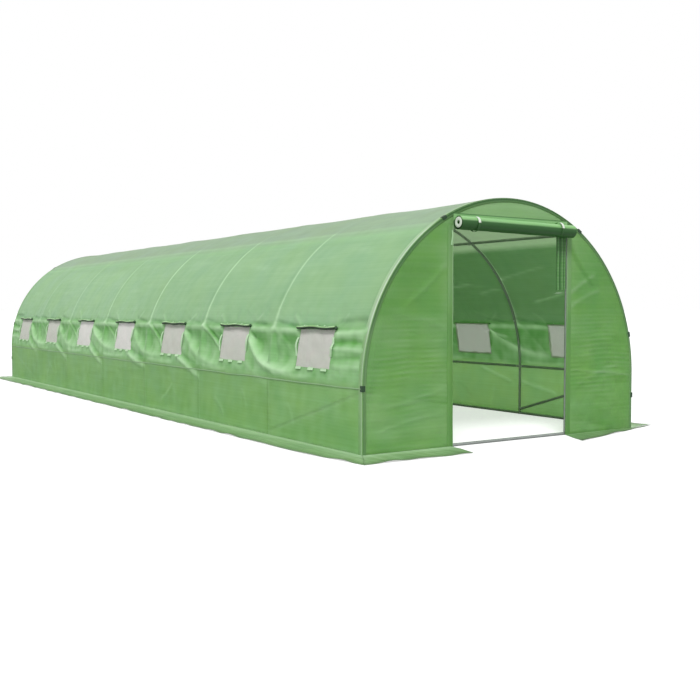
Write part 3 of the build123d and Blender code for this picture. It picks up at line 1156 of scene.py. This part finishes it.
        # The seam's tone paints a pale highlight line over the waist tube.
        tape(shape, line, UP, side.value * ACROSS, 0.009, 0.0022, tone=0.30)
        shape.build(f"waist_seam_{side.word}", HEM_FILM, slot="side_film")


def snapped(places: Array, targets: list[float]) -> Array:
    """Grid places with the one nearest to each target moved onto it."""
    moved = places.copy()
    for target in targets:
        moved[np.argmin(np.abs(places - target))] = target
    return moved


@dataclass(frozen=True)
class Window:
    """One window in a side: net, rolled flap, hook-and-loop strips and tabs.

    Args:
        cover: The cover that it is in.
        side: The long side.
        number: Its number from the front, from 1.
        flap: Radius of the rolled flap.
        overhang: How far the flap stands past the window at each side.
        rise: Height of the flap's middle over the window's upper edge.
        drop: Not used.
        lap: How far the net runs past the window's edge.
    """

    cover: Cover
    side: Side
    number: int
    flap: float = 0.015
    overhang: float = 0.03
    rise: float = 0.014
    drop: float = 0.33
    lap: float = 0.012

    @property
    def place(self) -> float:
        """The window's place along the tunnel."""
        return self.cover.size.windows[self.number - 1]

    @property
    def word(self) -> str:
        """Side and number, for the names of its pieces."""
        return f"{self.side.word}_{self.number}"

    @property
    def strip(self) -> str:
        """Name of the piece of film that it is in."""
        return f"window_strip_sheet_{self.side.word}"

    @property
    def flip(self) -> bool:
        """Whether the faces turn over to look outward."""
        return self.side is Side.LEFT

    @property
    def out(self) -> Array:
        """Direction out of the film by the window."""
        return np.array([self.side.value, 0, 0.2])

    def net(self) -> None:
        """The net, held at its edges and a little slack in the middle."""
        size = self.cover.size
        half = size.window / 2 + self.lap
        low, high = size.up(size.sill) - self.lap, size.up(size.head) + self.lap
        y, up = lattice(np.linspace(-half, half, 45) + self.place, np.linspace(low, high, 29))
        part_y, part_up = (y - self.place) / half, 2 * (up - low) / (high - low) - 1
        slack = (1 - part_y**2) * (1 - part_up**2)
        lift = self.cover.relief(self.side, y, up) * (1 - slack) - 0.0035
        lift += 0.004 * slack * ripple(y, up, 60 + self.number, 0.22)
        points = size.over(self.side, y, up, lift)
        cut = np.stack([y, up], -1)
        shape = Shape().grid(points, cut, flip=self.flip)
        piece = shape.build(f"window_net_{self.word}", NET, slot="window_net")
        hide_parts(f"window_nets_{self.side.word}")
        self.strip

    def rolled(self) -> None:
        """The flap, rolled up over the window."""
        size, radius = self.cover.size, self.flap
        draw = np.random.default_rng(100 + self.number + 10 * self.side.value)
        reach = size.window / 2 + self.overhang
        x = np.linspace(-reach, reach, 41)
        turn = np.linspace(0, 2 * math.pi * 4.2, 4 * 20 + 5)
        along, swing = lattice(x, turn)
        bulge = 1 + 0.13 * ripple(along, swing * 0.02, int(draw.integers(1e6)), 0.13)
        spiral = (0.005 + (radius - 0.005) * swing / turn[-1]) * bulge
        spiral = np.minimum(spiral, radius * 1.10)
        droop = 0.004 * np.cos(along / reach * math.pi * 1.5 + draw.uniform(0, 6)) - 0.002
        # The spiral stands on the cover just over the window's head and leans with it.
        centre = size.radius + radius + 0.001
        lean = math.asin((size.head + self.rise - size.leg) / centre)
        start = 0.6 + draw.uniform(-0.3, 0.3)
        out = centre + spiral * np.cos(swing + start)
        rise = spiral * np.sin(swing + start) + droop
        cos, sin = math.cos(lean), math.sin(lean)
        points = np.stack([
            self.side.value * (out * cos - rise * sin),
            along + self.place,
            size.leg + out * sin + rise * cos,
        ], -1)
        # Pale patches on its top, partly dull white tufts of hook-and-loop and partly painted top light, and
        # painted shade on its underside.
        level = np.sin(swing + start + lean)
        tufts_and_top_light = ease(0.5 + 1.2 * ripple(along, swing * 0.01, 700 + self.number, 0.12))
        shade = (0.42 * tufts_and_top_light - 0.06) * ease((level - 0.45) / 0.3) - ease((0.52 - level) / 0.3)
        cut = np.stack([along, swing * 0.012], -1)
        shape = Shape().grid(points, cut, shade, flip=self.flip)
        piece = shape.build(f"window_flap_{self.word}", FLAP_FILM, slot="flap_film")
        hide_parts(f"window_flaps_{self.side.word}")
        self.strip

    def trims(self, shape: Shape) -> None:
        """Hook-and-loop strips, tabs, roll ties and the end knob, added to a side's trims.

        Args:
            shape: The shape of the side's trims: slot 0 is tape and slot 1 is plastic.
        """
        draw = np.random.default_rng(200 + self.number + 10 * self.side.value)
        self.straps(shape, draw)
        self.tabs(shape, draw)
        self.ties(shape, draw)

    def straps(self, shape: Shape, draw: np.random.Generator) -> None:
        """Bowed hook-and-loop strips at both sides of the window."""
        size, step = self.cover.size, np.linspace(0, 1, 21)
        for way in (-1, 1):
            bow = 0.012 + draw.uniform(0, 0.010)
            y = self.place + way * (size.window / 2 + 0.006 + bow * np.sin(math.pi * step))
            up = size.up(size.sill) + 0.085 + draw.uniform(-0.01, 0.02) + 0.155 * step
            lift = self.cover.relief(self.side, y, up) + 0.004 + 0.014 * np.sin(math.pi * step)
            line = size.over(self.side, y, up, lift)
            tape(shape, line, ALONG, self.out, 0.026, 0.0025, flip=self.flip)

    def tabs(self, shape: Shape, draw: np.random.Generator) -> None:
        """Three short tabs on the window's lower edge, curled a little outward."""
        size = self.cover.size
        sill = size.up(size.sill)
        for off in (-0.36, 0.02, 0.40):
            y = np.full(7, self.place + off * size.window + draw.uniform(-0.01, 0.01))
            up = np.linspace(sill - 0.018, sill + 0.004, 7)
            lift = self.cover.relief(self.side, y, up) + 0.003 + 0.006 * np.linspace(1, 0, 7) ** 2
            line = size.over(self.side, y, up, lift)
            tape(shape, line, ALONG, self.out, 0.084, 0.003, flip=self.flip)

    def ties(self, shape: Shape, draw: np.random.Generator) -> None:
        """Three ties round the rolled flap, and the knob at its front end."""
        size, side = self.cover.size, self.side
        lean = math.asin((size.head + self.rise - size.leg) / (size.radius + self.flap))
        x, _, z = size.over(side, 0.0, size.leg + size.radius * lean, self.flap)
        spin = np.linspace(0.3, 2.6, 15)
        ring = self.flap + 0.003 + 0.010 * ease((spin - 1.5) / 1.0)
        face = np.stack([side.value * np.cos(spin + lean), np.zeros(15), np.sin(spin + lean)], -1)
        for off in (-0.30, -0.02, 0.31):
            y = self.place + off * size.window + draw.uniform(-0.03, 0.03)
            line = np.array([x, y, z]) + ring[:, None] * face
            line[:, 1] += 0.012 * ease((spin - 1.2) / 1.2)
            tape(shape, line, ALONG, face, 0.014, 0.002, flip=not self.flip)
        knob = np.array([x, self.place - size.window / 2 - self.overhang - 0.004, z - 0.002])
        ball(shape, knob, (0.014, 0.013, 0.016), mark=1)


# The ends and the skirt


@dataclass(frozen=True)
class Ends:
    """An end of the cover: three panels, hems, doorway edges and the rolled door sheet.

    Args:
        size: Sizes of the frame.
        end: Which end.
        seam: Height of the seam that the door sheet hangs from.
        turns: Number of turns in the roll.
        core: Radius of the roll's innermost turn.
        tilt: How much lower the roll's right end is than its middle.
        tie: Distance of the roll's ties from its ends.
        loose: Width of the door sheet's loose edge, as it hangs in pleats.
        loose_foot: Height of the loose edge's lower end.
        loose_flat: Not used.
        hem_width: Not used.
    """

    size: Measures
    end: End
    seam: float = 1.845
    turns: float = 7.0
    core: float = 0.012
    tilt: float = 0.008
    tie: float = 0.17
    loose: float = 0.122
    loose_foot: float = 1.255
    loose_flat: tuple[float, float] = (0.16, 0.49)
    hem_width: float = 0.085

    @property
    def word(self) -> str:
        """The end's name in the names of pieces."""
        return self.end.word

    @property
    def reach(self) -> float:
        """Radius of the end panels' arched edge."""
        return self.size.radius - 0.0045

    def sheet_relief(self, x: Array, z: Array, seed: int) -> Array:
        """Relief of an end panel: taut cross lines and soft waves, clear of the tubes."""
        size = self.size
        waves = 0.0035 * ripple(z, x, seed, 0.16, 1.0) * ease((1.5 - z) / 1.0)
        total = waves + 0.0012 * self.lines(x, z, seed) + 0.002
        total += pile(self.folds(), x, z)
        edge = size.radius - np.hypot(x, np.maximum(z - size.leg, 0))
        jamb = np.where(z < size.lintel + 0.05, np.abs(np.abs(x) - size.door), 1.0)
        free = ease((edge - 0.035) / 0.06) * ease((jamb - 0.055) / 0.05)
        low = ease((np.abs(np.abs(x) - size.door - size.tube) - 0.01) / 0.05) * ease((z - 0.02) / 0.06)
        return np.maximum(total, 0.0) * free + np.minimum(total, 0.0) * free * low

    def lines(self, x: Array, z: Array, seed: int) -> Array:
        """Faint level lines of -1 to 1 where the end film is drawn sideways, strongest at half height."""
        wave = np.sin(2 * math.pi * z / 0.040 + 2.2 * ripple(x, z, seed + 3, 0.7))
        held = 0.25 + 0.75 * ease((z - 0.25) / 0.2) * ease((1.15 - z) / 0.3)
        return wave * held * np.clip(0.7 + 0.6 * ripple(x, z, seed + 5, 0.35), 0, 1.3)

    def folds(self) -> list[Fold]:
        """Diagonal folds in the end panels, pulled from the jambs and the roll."""
        door = self.size.door
        return [
            Fold((way * (door + near), low), (way * (door + far), high), *form)
            for way, (near, low), (far, high), *form in END_FOLDS
        ]

    def panel(self, name: str, low: float, high: float, bottom: float, seed: int, outer: int) -> None:
        """One panel of the end wall.

        Args:
            name: Its name: left, right or top.
            low: Its lowest X at the front.
            high: Its highest X at the front.
            bottom: Height of its lower edge.
            seed: Seed of its waves.
            outer: The sign of X at its arched edge, or 0 for the top panel.
        """
        size, reach = self.size, self.reach
        start, stop = (math.acos(min(1, max(-1, edge / reach))) for edge in (low, high))
        turns = np.linspace(start, stop, 61)
        x, top = reach * np.cos(turns), size.leg + reach * np.sin(turns)
        grid_x, share = lattice(x, np.linspace(0, 1, 160))
        grid_z = bottom + (top - bottom) * share
        relief = self.sheet_relief(grid_x, grid_z, seed)
        points = np.stack([grid_x, -size.end + HALF_FILM - relief, grid_z], -1)
        # Fold ridges get a painted highlight and fold valleys a painted shade, more strongly right of the
        # doorway.
        drawn = np.where(grid_x < 0, 16, 45)
        tone = np.clip(pile(self.folds(), grid_x, grid_z) * drawn, -0.2, 0.25)
        tone = tone + 0.06 * ripple(grid_x, grid_z, seed + 9, 0.45) + 0.10 * self.lines(grid_x, grid_z, seed)
        if outer:
            # A painted light at the foot of each side panel.
            paler, below, fade = PANEL_FEET[outer]
            beside = bell((np.abs(grid_x) - size.door - 0.05) / 0.08) * ease((grid_z - 0.7) / 0.3)
            tone = tone + 0.12 * beside + paler * ease((below - grid_z) / fade)
        else:
            tone = tone + 0.36
        shape = Shape().grid(points, np.stack([grid_x, grid_z], -1), tone).turned(self.end)
        piece = shape.build(f"{self.word}_sheet_{name}", END_FILM, slot="end_film")
        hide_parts(f"{self.word}_panel_{name}")

    def hem(self) -> None:
        """The rounded edge of the cover over the end hoop, lapped onto roof and end wall."""
        size = self.size
        centre = size.radius - TUBE_DEPTH - size.tube
        bend = size.tube + 0.0046
        legs = np.linspace(0.004, size.leg, 26)
        places = [(centre, z, 1.0, 0.0) for z in legs]
        for turn in np.linspace(0, math.pi, 161)[1:-1]:
            cos, sin = math.cos(turn), math.sin(turn)
            places.append((centre * cos, size.leg + centre * sin, cos, sin))
        places += [(-centre, z, -1.0, 0.0) for z in legs[::-1]]
        x, z, out_x, out_z = np.array(places).T
        run = run_along(np.stack([x, z], -1))
        # Its section, out from the tube and forward: flat on the roof, round the tube, down the end wall
        # and turned in at the edge.
        profile = [(bend, -0.034), (bend, -0.018)]
        profile += [(bend * math.cos(b), bend * math.sin(b)) for b in np.linspace(0, math.pi / 2, 9)]
        profile += [(-0.010, bend + 0.0010), (-0.018, bend + 0.0012), (-0.0205, bend - 0.004)]
        out, front = (np.array(part)[:, None] for part in zip(*profile))
        # The tone paints a highlight on the rounded edge and shade on its inner side.
        leg, arch, top = (np.array(tones)[:, None] for tones in (HEM_LEG, HEM_ARCH, HEM_TOP))
        high, crest = ease((z - size.leg - 0.30) / 0.25), ease((out_z - 0.78) / 0.14)
        tone = (arch * high + leg * (1 - high)) * (1 - crest) + top * crest
        pucker = 1 + 0.03 * np.sin(run * 2 * math.pi / 0.06 + 2 * ripple(run, run * 0, 91, 0.4))
        points = np.stack([x + out * out_x, -abs(size.hoops[0]) - front * pucker, z + out * out_z], -1)
        over = np.cumsum(np.full(out.shape, 0.004), 0)
        cut = np.stack(np.broadcast_arrays(run[None, :], over), -1)
        shape = Shape().grid(points, cut, tone, flip=True).turned(self.end)
        piece = shape.build(f"{self.word}_hem", HEM_FILM, slot="roof_film")

    def jambs(self) -> None:
        """Doubled edges beside the doorway, with a zip tape along each."""
        size, shape = self.size, Shape()
        z = np.linspace(0.004, size.lintel + 0.03, 60)
        band, weight = 0.05 + 0.14 * ease((z - 0.95) / 0.35), 0.10 + 0.45 * ease((z - 0.6) / 0.6)
        for way in (-1, 1):
            x = way * (size.door + 0.027) + 0.002 * ripple(z, z * 0, 71 + way, 0.5)
            line = np.stack([x, np.full(60, -size.end - HALF_FILM), z], -1)
            tape(shape, line, ACROSS, FRONT, 0.054, 0.002, tone=band)
            edge = np.stack([x - way * 0.0235, np.full(60, -size.end - 0.0035), z], -1)
            tape(shape, edge, ACROSS, FRONT, 0.008, 0.004, tone=weight)
        shape.turned(self.end).build(f"{self.word}_door_edges", END_FILM, slot="end_film")

    def roll_ends(self) -> None:
        """The tight pale turns in the middle of the roll, which stand out a little at its ends."""
        size, shape = self.size, Shape()
        turn, spread = lattice(np.linspace(0, 2 * math.pi, 41), np.linspace(0, 1, 11))
        rings = 0.015 + 0.027 * spread
        bead = 0.004 * np.sin(math.pi * spread) ** 0.5 + 0.0008 * np.sin(spread * 14)
        for way in (-1, 1):
            x = way * (size.door - 0.003 + bead)
            y = -size.roll_y + rings * np.cos(turn)
            z = size.roll_z - way * self.tilt + rings * np.sin(turn)
            shape.grid(np.stack([x, y, z], -1), np.stack([turn * 0.02, rings], -1), 1.0, flip=way > 0)
        shape.turned(self.end).build(f"{self.word}_roll_ends", TAPE, slot="door_film")

    def roll(self) -> None:
        """The door sheet: hung from its seam, down the panel and rolled up from below."""
        size, radius, side = self.size, self.size.roll - 0.001, self.size.door - 0.002
        turn = np.linspace(0, 2 * math.pi * self.turns, round(self.turns * 30) + 1)
        # Its path: out from the core to the roll's face, then up the face to the seam.
        spiral = self.core + (radius - self.core) * turn / turn[-1]
        drop, face = np.linspace(size.roll_z + 0.012, self.seam, 6), np.full(6, radius)
        y = np.concatenate([spiral * np.cos(turn), face]) - size.roll_y
        z = np.concatenate([size.roll_z + spiral * np.sin(turn), drop])
        run = run_along(np.stack([y, z], -1))
        x = np.linspace(-side, side, 81)
        grid_x, grid_y = lattice(x, y)
        grid_z, grid_run, depth = (lattice(x, part)[1] for part in (z, run, np.concatenate([spiral, face])))
        # The rolled part is a little lumpy and tilts, and stays in front of the end wall.
        lump = 0.0022 * ripple(grid_x, grid_run * 0.2, 83, 0.30) * depth / radius
        outward = np.stack([grid_x * 0, grid_y + size.roll_y, grid_z - size.roll_z], -1)
        outward /= np.maximum(np.linalg.norm(outward, axis=-1, keepdims=True), 1e-6)
        rolled = 1 - ease((grid_z - size.roll_z - radius) / 0.02)
        points = np.stack([grid_x, grid_y, grid_z], -1) + outward * (lump * rolled)[..., None]
        points[..., 1] = np.minimum(points[..., 1], -size.end - 0.001)
        points[..., 2] -= self.tilt * grid_x / size.door * rolled
        # The core's ends are pale, the underside is in shade and so is the seam.
        rim = bell((side - np.abs(grid_x)) / 0.010)
        below = ease((0.52 - (grid_z - size.roll_z) / radius) / 0.35)
        tone = rim * np.where(depth < 0.030, 1.0, 0.0) + 0.04 * (1 - below) - 0.95 * below
        tone -= 0.9 * ease((grid_z - self.seam + 0.010) / 0.006)
        shape = Shape().grid(points, np.stack([grid_x, grid_run], -1), tone).turned(self.end)
        piece = shape.build(f"{self.word}_door_sheet", ROLL_FILM, slot="door_film")
        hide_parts("door_rolls")
        f"{self.word}_sheet_top"

    def ties(self) -> None:
        """Two green tapes round the roll, each with a white loop on its upper front, and a loose tail."""
        size, shape = self.size, Shape()
        radius = size.roll + 0.0016
        turn, arc = np.linspace(0, 2 * math.pi, 49), np.linspace(math.radians(112), math.radians(172), 13)
        shade = -0.9 * ease((0.55 - np.sin(turn)) / 0.35)
        lift = radius + 0.0026 + 0.002 * np.sin(np.linspace(0, math.pi, 13))
        for x in (self.tie - size.door, size.door - self.tie):
            axis = np.array([x, -size.roll_y, size.roll_z])
            line = axis + radius * spokes(turn)
            line[:, 1] = np.minimum(line[:, 1], -size.end - 0.0035)
            tape(shape, line, ACROSS, spokes(turn), 0.020, 0.0016, tone=shade, mark=1)
            loop = axis + 0.002 * ACROSS + lift[:, None] * spokes(arc)
            tape(shape, loop, ACROSS, spokes(arc), 0.024, 0.0022)
        fall = np.linspace(0, 1, 9)
        tail = np.stack([
            -size.door - 0.014 + 0.004 * np.sin(fall * 5),
            -size.end - 0.006 - 0.002 * np.sin(fall * 4),
            size.roll_z - 0.052 - 0.115 * fall,
        ], -1)
        tape(shape, tail, ACROSS, FRONT, 0.014, 0.0018, tone=0.4, mark=1)
        piece = shape.turned(self.end).build(f"{self.word}_roll_ties", TAPE, ROLL_FILM, slot="strap_webbing")
        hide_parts("roll_straps")

    def hanging(self) -> None:
        """The loose edge of the door sheet that hangs beside the jamb, pleated."""
        size, wide = self.size, self.loose
        z = np.linspace(self.loose_foot, size.roll_z - 0.02, 41)
        grid_x, grid_z = lattice(np.linspace(0, wide, 49), z)
        swell = grid_x / wide + 0.05 * np.sin(grid_x / wide * 8.0)
        pleat = 0.006 * np.sin(swell * 2 * math.pi * 3.2 + 0.7 * ripple(grid_z, grid_x, 97, 0.7))
        points = np.stack([size.door - wide - 0.002 + grid_x, -size.end + 0.004 + pleat, grid_z], -1)
        shade = -0.66 - 38 * pleat
        shape = Shape().grid(points, np.stack([grid_x, grid_z], -1), shade).turned(self.end)
        piece = shape.build(f"{self.word}_door_edge_hanging", ROLL_FILM, slot="door_film")
        f"{self.word}_door_sheet"

    def build(self) -> None:
        """Build the end."""
        size = self.size
        self.panel("left", -self.reach, -size.door, FOOT, 51, -1)
        self.panel("right", size.door, self.reach, FOOT, 52, 1)
        self.panel("top", -size.door, size.door, size.lintel, 53, 0)
        self.hem()
        self.jambs()
        self.roll_ends()
        self.roll()
        self.ties()
        self.hanging()
        LOG.info("%s end: panels, hem, jambs and rolled door sheet", self.word)


@dataclass(frozen=True)
class Skirt:
    """The ground skirt: strips of film that lie round the foot of the cover.

    Args:
        size: Sizes of the frame.
        step: Grid step.
        wide: Width of the side strips.
        taper: Distance from an end where a side strip reaches its full width.
        square: How far the square at an end stands out sideways.
        square_short: How far short of the doorway the square's outer edge ends.
        cut_back: How far behind the end the cut strip's outer corner lies.
        cut_long: How far the cut strip's outer edge runs on before the doorway.
        thick: Thickness of the film.
    """

    size: Measures
    step: float = 0.03
    wide: float = 0.30
    taper: float = 0.35
    square: float = 0.22
    square_short: float = 0.085
    cut_back: float = 0.04
    cut_long: float = 0.165
    thick: float = 0.002

    def lay(self, name: str, node: str, inner: list[Spot], outer: list[Spot], turn: int, seed: int,
            weight: float) -> None:
        """One strip between an inner and an outer line.

        Args:
            name: Name of the piece.
            node: The CAD node that it stands for.
            inner: Points of the line at the cover's foot.
            outer: Points of the outer edge, from the same end.
            turn: 1 as drawn, or -1 turned half round.
            seed: Seed of its waves.
            weight: How much paler it is, or under 0 how much deeper.
        """
        length = float(run_along(np.array(outer))[-1])
        columns = round(length / self.step)
        inside, outside = spaced(inner, columns), spaced(outer, columns)
        share = np.linspace(0, 1, 15)[:, None, None]
        plan = (inside + (outside - inside) * share) * turn
        x, y = plan[..., 0], plan[..., 1]
        edge = share[..., 0]
        wave = np.clip(0.5 + 0.5 * ripple(x, y, seed, 0.35), 0, 1.4)
        lift = 0.0022 + 0.010 * ease(edge / 0.5) * wave + 0.004 * bell(edge / 0.12)
        # A paler band by the cover's foot and a painted shadow under the lifted outer edge; a deeper strip is
        # painted shade.
        tone = np.broadcast_to(weight + 0.34 * bell(edge / 0.28) - 0.7 * bell((1 - edge) / 0.16), x.shape)
        shape = Shape().grid(np.stack([x, y, lift], -1), np.stack([y, x], -1), tone, flip=turn > 0)
        piece = shape.build(name, SKIRT_FILM, slot="skirt_film")
        thicken(piece, self.thick)
        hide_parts(node)

    def build(self) -> None:
        """Build the side strips and the end strips beside the doorways."""
        size = self.size
        inner_x, inner_y = size.radius - FOOT, size.end - FOOT
        low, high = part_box("ground_skirt_front")
        side_x, side_y = size.radius + self.wide, size.end - self.taper
        # The outer corners at the front: left of the square, and right of the cut strip.
        square, cut = (-size.radius - self.square, low.y), (high.x, self.cut_back - size.end)
        side_inner = [(-inner_x, -inner_y), (-inner_x, inner_y)]
        side_outer = [square, (-side_x, -side_y), (-side_x, side_y), (-cut[0], -cut[1])]
        square_inner = [(-size.door, -inner_y), (-inner_x, -inner_y)]
        square_outer = [(-size.door - self.square_short, low.y), square]
        cut_inner = [(inner_x, -inner_y), (size.door, -inner_y)]
        cut_outer = [cut, (size.door - self.cut_long, low.y)]
        for turn, side, end in ((1, "left", "front"), (-1, "right", "back")):
            # The cut strip is made deeper, a painted shade.
            strips = (
                (f"skirt_{side}", side, side_inner, side_outer, 301, 0.08),
                (f"skirt_{end}_square", end, square_inner, square_outer, 305, 0.06),
                (f"skirt_{end}_cut", end, cut_inner, cut_outer, 309, -0.28),
            )
            for name, place, inner, outer, seed, weight in strips:
                self.lay(name, f"ground_skirt_{place}", inner, outer, turn, seed + turn, weight)
        LOG.info("skirt: six strips")


def spaced(line: list[Spot], count: int) -> Array:
    """Evenly spaced points along a line of straight runs, with its own corners kept near."""
    corners = np.array(line)
    run = run_along(corners)
    at = snapped(np.linspace(0, run[-1], count + 1), list(run))
    return np.stack([np.interp(at, run, corners[:, axis]) for axis in (0, 1)], -1)


def thicken(piece: bpy.types.Object, thickness: float) -> None:
    """Give a sheet a real thickness, applied to its mesh."""
    shell = piece.modifiers.new("thickness", "SOLIDIFY")
    shell.thickness = thickness
    shell.offset = 0
    graph = bpy.context.evaluated_depsgraph_get()
    mesh = bpy.data.meshes.new_from_object(piece.evaluated_get(graph))
    piece.modifiers.clear()
    old, piece.data = piece.data, mesh
    bpy.data.meshes.remove(old)
    mesh.name = piece.name


# The frame and the studio


@dataclass(frozen=True)
class Steelwork:
    """The tube frame: finishes for its nodes, and the bolts in its brackets.

    Args:
        size: Sizes of the frame.
        head: Radius of a bolt head.
        bracket: Half the length of a bracket.
        inset: Distance of its outer bolts from its ends.
        plate: Thickness of a bracket, with its gap to the tube.
        joint: Angle above the spring line of the joints in the hoops.
        joint_out: How much further out the bolts of those joints sit.
    """

    size: Measures
    head: float = 0.0085
    bracket: float = 0.045
    inset: float = 0.012
    plate: float = 0.0033
    joint: float = math.radians(18.6)
    joint_out: float = 0.0045

    def dress(self) -> None:
        """Give the frame's nodes their finishes."""
        finishes = {"tube_brackets": BRIGHT_ZINC, "cover_clips": DARK_PLASTIC}
        for name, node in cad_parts.items():
            if node.hide_render:
                continue
            material = finishes.get(name, ZINC).material()
            if not node.material_slots:
                node.data.materials.append(material)
            for slot in node.material_slots:
                slot.link = "OBJECT"
                slot.material = material

    def bolts(self) -> None:
        """Round bolt heads on the brackets' inner faces."""
        size, shape = self.size, Shape()
        inner = size.radius - TUBE_DEPTH - 2 * size.tube - self.plate
        angles = (0.0, size.shoulder, math.pi / 2, math.pi - size.shoulder, math.pi)
        for place in size.hoops:
            low = max(place - self.bracket, size.hoops[0] - size.tube)
            high = min(place + self.bracket, size.hoops[-1] + size.tube)
            for angle in angles:
                for y in (low + self.inset, (low + high) / 2, high - self.inset):
                    dome(shape, inner, size.leg, angle, y, self.head)
            for angle in (self.joint, math.pi - self.joint):
                dome(shape, inner + self.joint_out, size.leg, angle, place, self.head * 1.2)
        shape.build("bracket_bolts", BRIGHT_ZINC, slot="bracket_steel")
        LOG.info("steelwork: finishes and bolts")


def dome(shape: Shape, inner: float, leg: float, angle: float, y: float, radius: float) -> None:
    """Add a bolt head on the inside of the arch.

    Args:
        shape: The shape that it goes into.
        inner: Distance of the bracket's inner face from the arch's middle.
        leg: Height of the arch's middle.
        angle: Angle on the arch.
        y: Place along the tunnel.
        radius: Radius of the head.
    """
    spin, lift = lattice(np.linspace(0, 2 * math.pi, 11), np.array([0.0, 0.35, 0.75, 1.0]))
    width = radius * np.sqrt(np.maximum(1 - lift**3, 0))
    depth = inner - 0.005 * lift
    side = width * np.sin(spin)
    x = depth * math.cos(angle) - side * math.sin(angle)
    z = leg + depth * math.sin(angle) + side * math.cos(angle)
    shape.grid(np.stack([x, y + width * np.cos(spin), z], -1))


@dataclass(frozen=True)
class Studio:
    """Floor, light and camera.

    Args:
        camera: Place of the camera.
        yaw: Its turn from +Y towards +X, in radians.
        pitch: Its tilt upward, in radians.
        lens: Focal length for a 36 mm sensor.
        reach: Distance from the middle to the floor's edges.
        grey: Grey of the floor.
        shine: How much the floor is lifted towards white for the camera.
        sky: Colour of the surroundings' light.
        sky_strength: Strength of that light.
        sun: Strength of the lamp.
        sun_spread: Its angular size in degrees, for soft shadows.
        sun_turn: Its tilt back and to the side in degrees, from pointing straight down.
    """

    camera: tuple[float, float, float] = (-5.45, -10.737, 1.089)
    yaw: float = 0.590
    pitch: float = -0.043
    lens: float = 48.6
    reach: float = 400.0
    grey: float = 0.58
    shine: float = 0.60
    sky: Colour = (0.97, 0.985, 1.0)
    sky_strength: float = 0.56
    sun: float = 2.2
    sun_spread: float = 18.0
    sun_turn: tuple[float, float] = (30.0, -26.0)

    def floor(self) -> None:
        """A plain pale floor that keeps the object's shadow."""
        mesh = bpy.data.meshes.new("floor")
        corners = [(x * self.reach, y * self.reach, 0) for x, y in ((-1, -1), (1, -1), (1, 1), (-1, 1))]
        mesh.from_pydata(corners, [], [(0, 1, 2, 3)])
        floor = put("floor", mesh)
        tree = Tree(bpy.data.materials.new("floor"))
        rays = tree.add("LightPath").outputs["Is Camera Ray"]
        matt = tree.add("BsdfDiffuse", {"Color": full((self.grey, self.grey, self.grey))}).outputs[0]
        lamp = tree.add("Emission", {"Color": (1, 1, 1, 1), "Strength": self.shine}).outputs[0]
        bright = tree.add("AddShader", {0: matt, 1: lamp}).outputs[0]
        mesh.materials.append(tree.finish(tree.add("MixShader", {0: rays, 1: matt, 2: bright}).outputs[0]))
        floor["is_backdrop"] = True

    def light(self) -> None:
        """White surroundings and a soft high lamp from the left."""
        tree = Tree(bpy.data.worlds.new("studio"), "OutputWorld")
        rays = tree.add("LightPath").outputs
        seen = tree.sum("MAXIMUM", rays["Is Camera Ray"], rays["Is Glossy Ray"])
        seen = tree.sum("MAXIMUM", seen, rays["Is Transmission Ray"])
        soft = tree.add("Background", {"Color": full(self.sky), "Strength": self.sky_strength}).outputs[0]
        white = tree.add("Background", {"Color": (1, 1, 1, 1)}).outputs[0]
        mixed = tree.add("MixShader", {0: seen, 1: soft, 2: white}).outputs[0]
        bpy.context.scene.world = tree.finish(mixed)
        data = bpy.data.lights.new("key", "SUN")
        data.energy, data.angle = self.sun, math.radians(self.sun_spread)
        back, aside = (math.radians(angle) for angle in self.sun_turn)
        put("key", data).rotation_euler = (back, aside, 0)

    def view(self) -> None:
        """The camera at the reference view."""
        data = bpy.data.cameras.new("camera")
        data.lens, data.sensor_width, data.clip_end = self.lens, 36.0, 1000.0
        camera = put("camera", data)
        camera.location = self.camera
        camera.rotation_euler = (math.pi / 2 + self.pitch, 0, -self.yaw)
        bpy.context.scene.camera = camera
        bpy.context.scene.view_settings.view_transform = "Standard"

    def build(self) -> None:
        """Set up floor, light and camera."""
        self.floor()
        self.light()
        self.view()


def main() -> None:
    """Build the classes in order and report each piece."""
    logging.basicConfig(level=logging.INFO, format="%(name)s: %(message)s")
    size = Measures.read()
    LOG.info("frame: radius %.3f m, %d hoops", size.radius, len(size.hoops))
    Studio().build()
    cover = Cover(size)
    cover.build()
    for side in Side:
        trims = Shape()
        for number in range(1, len(size.windows) + 1):
            window = Window(cover, side, number)
            window.net()
            window.rolled()
            window.trims(trims)
        trims.build(f"window_trims_{side.word}", TAB_TAPE, DARK_PLASTIC, slot="strap_webbing")
        LOG.info("%s windows: nets, flaps and trims", side.word)
    for end in End:
        Ends(size, end).build()
    Skirt(size).build()
    work = Steelwork(size)
    work.dress()
    work.bolts()
    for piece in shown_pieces():
        LOG.info("piece %s: %d faces", piece.name, len(piece.data.polygons))


if __name__ == "__main__":
    main()
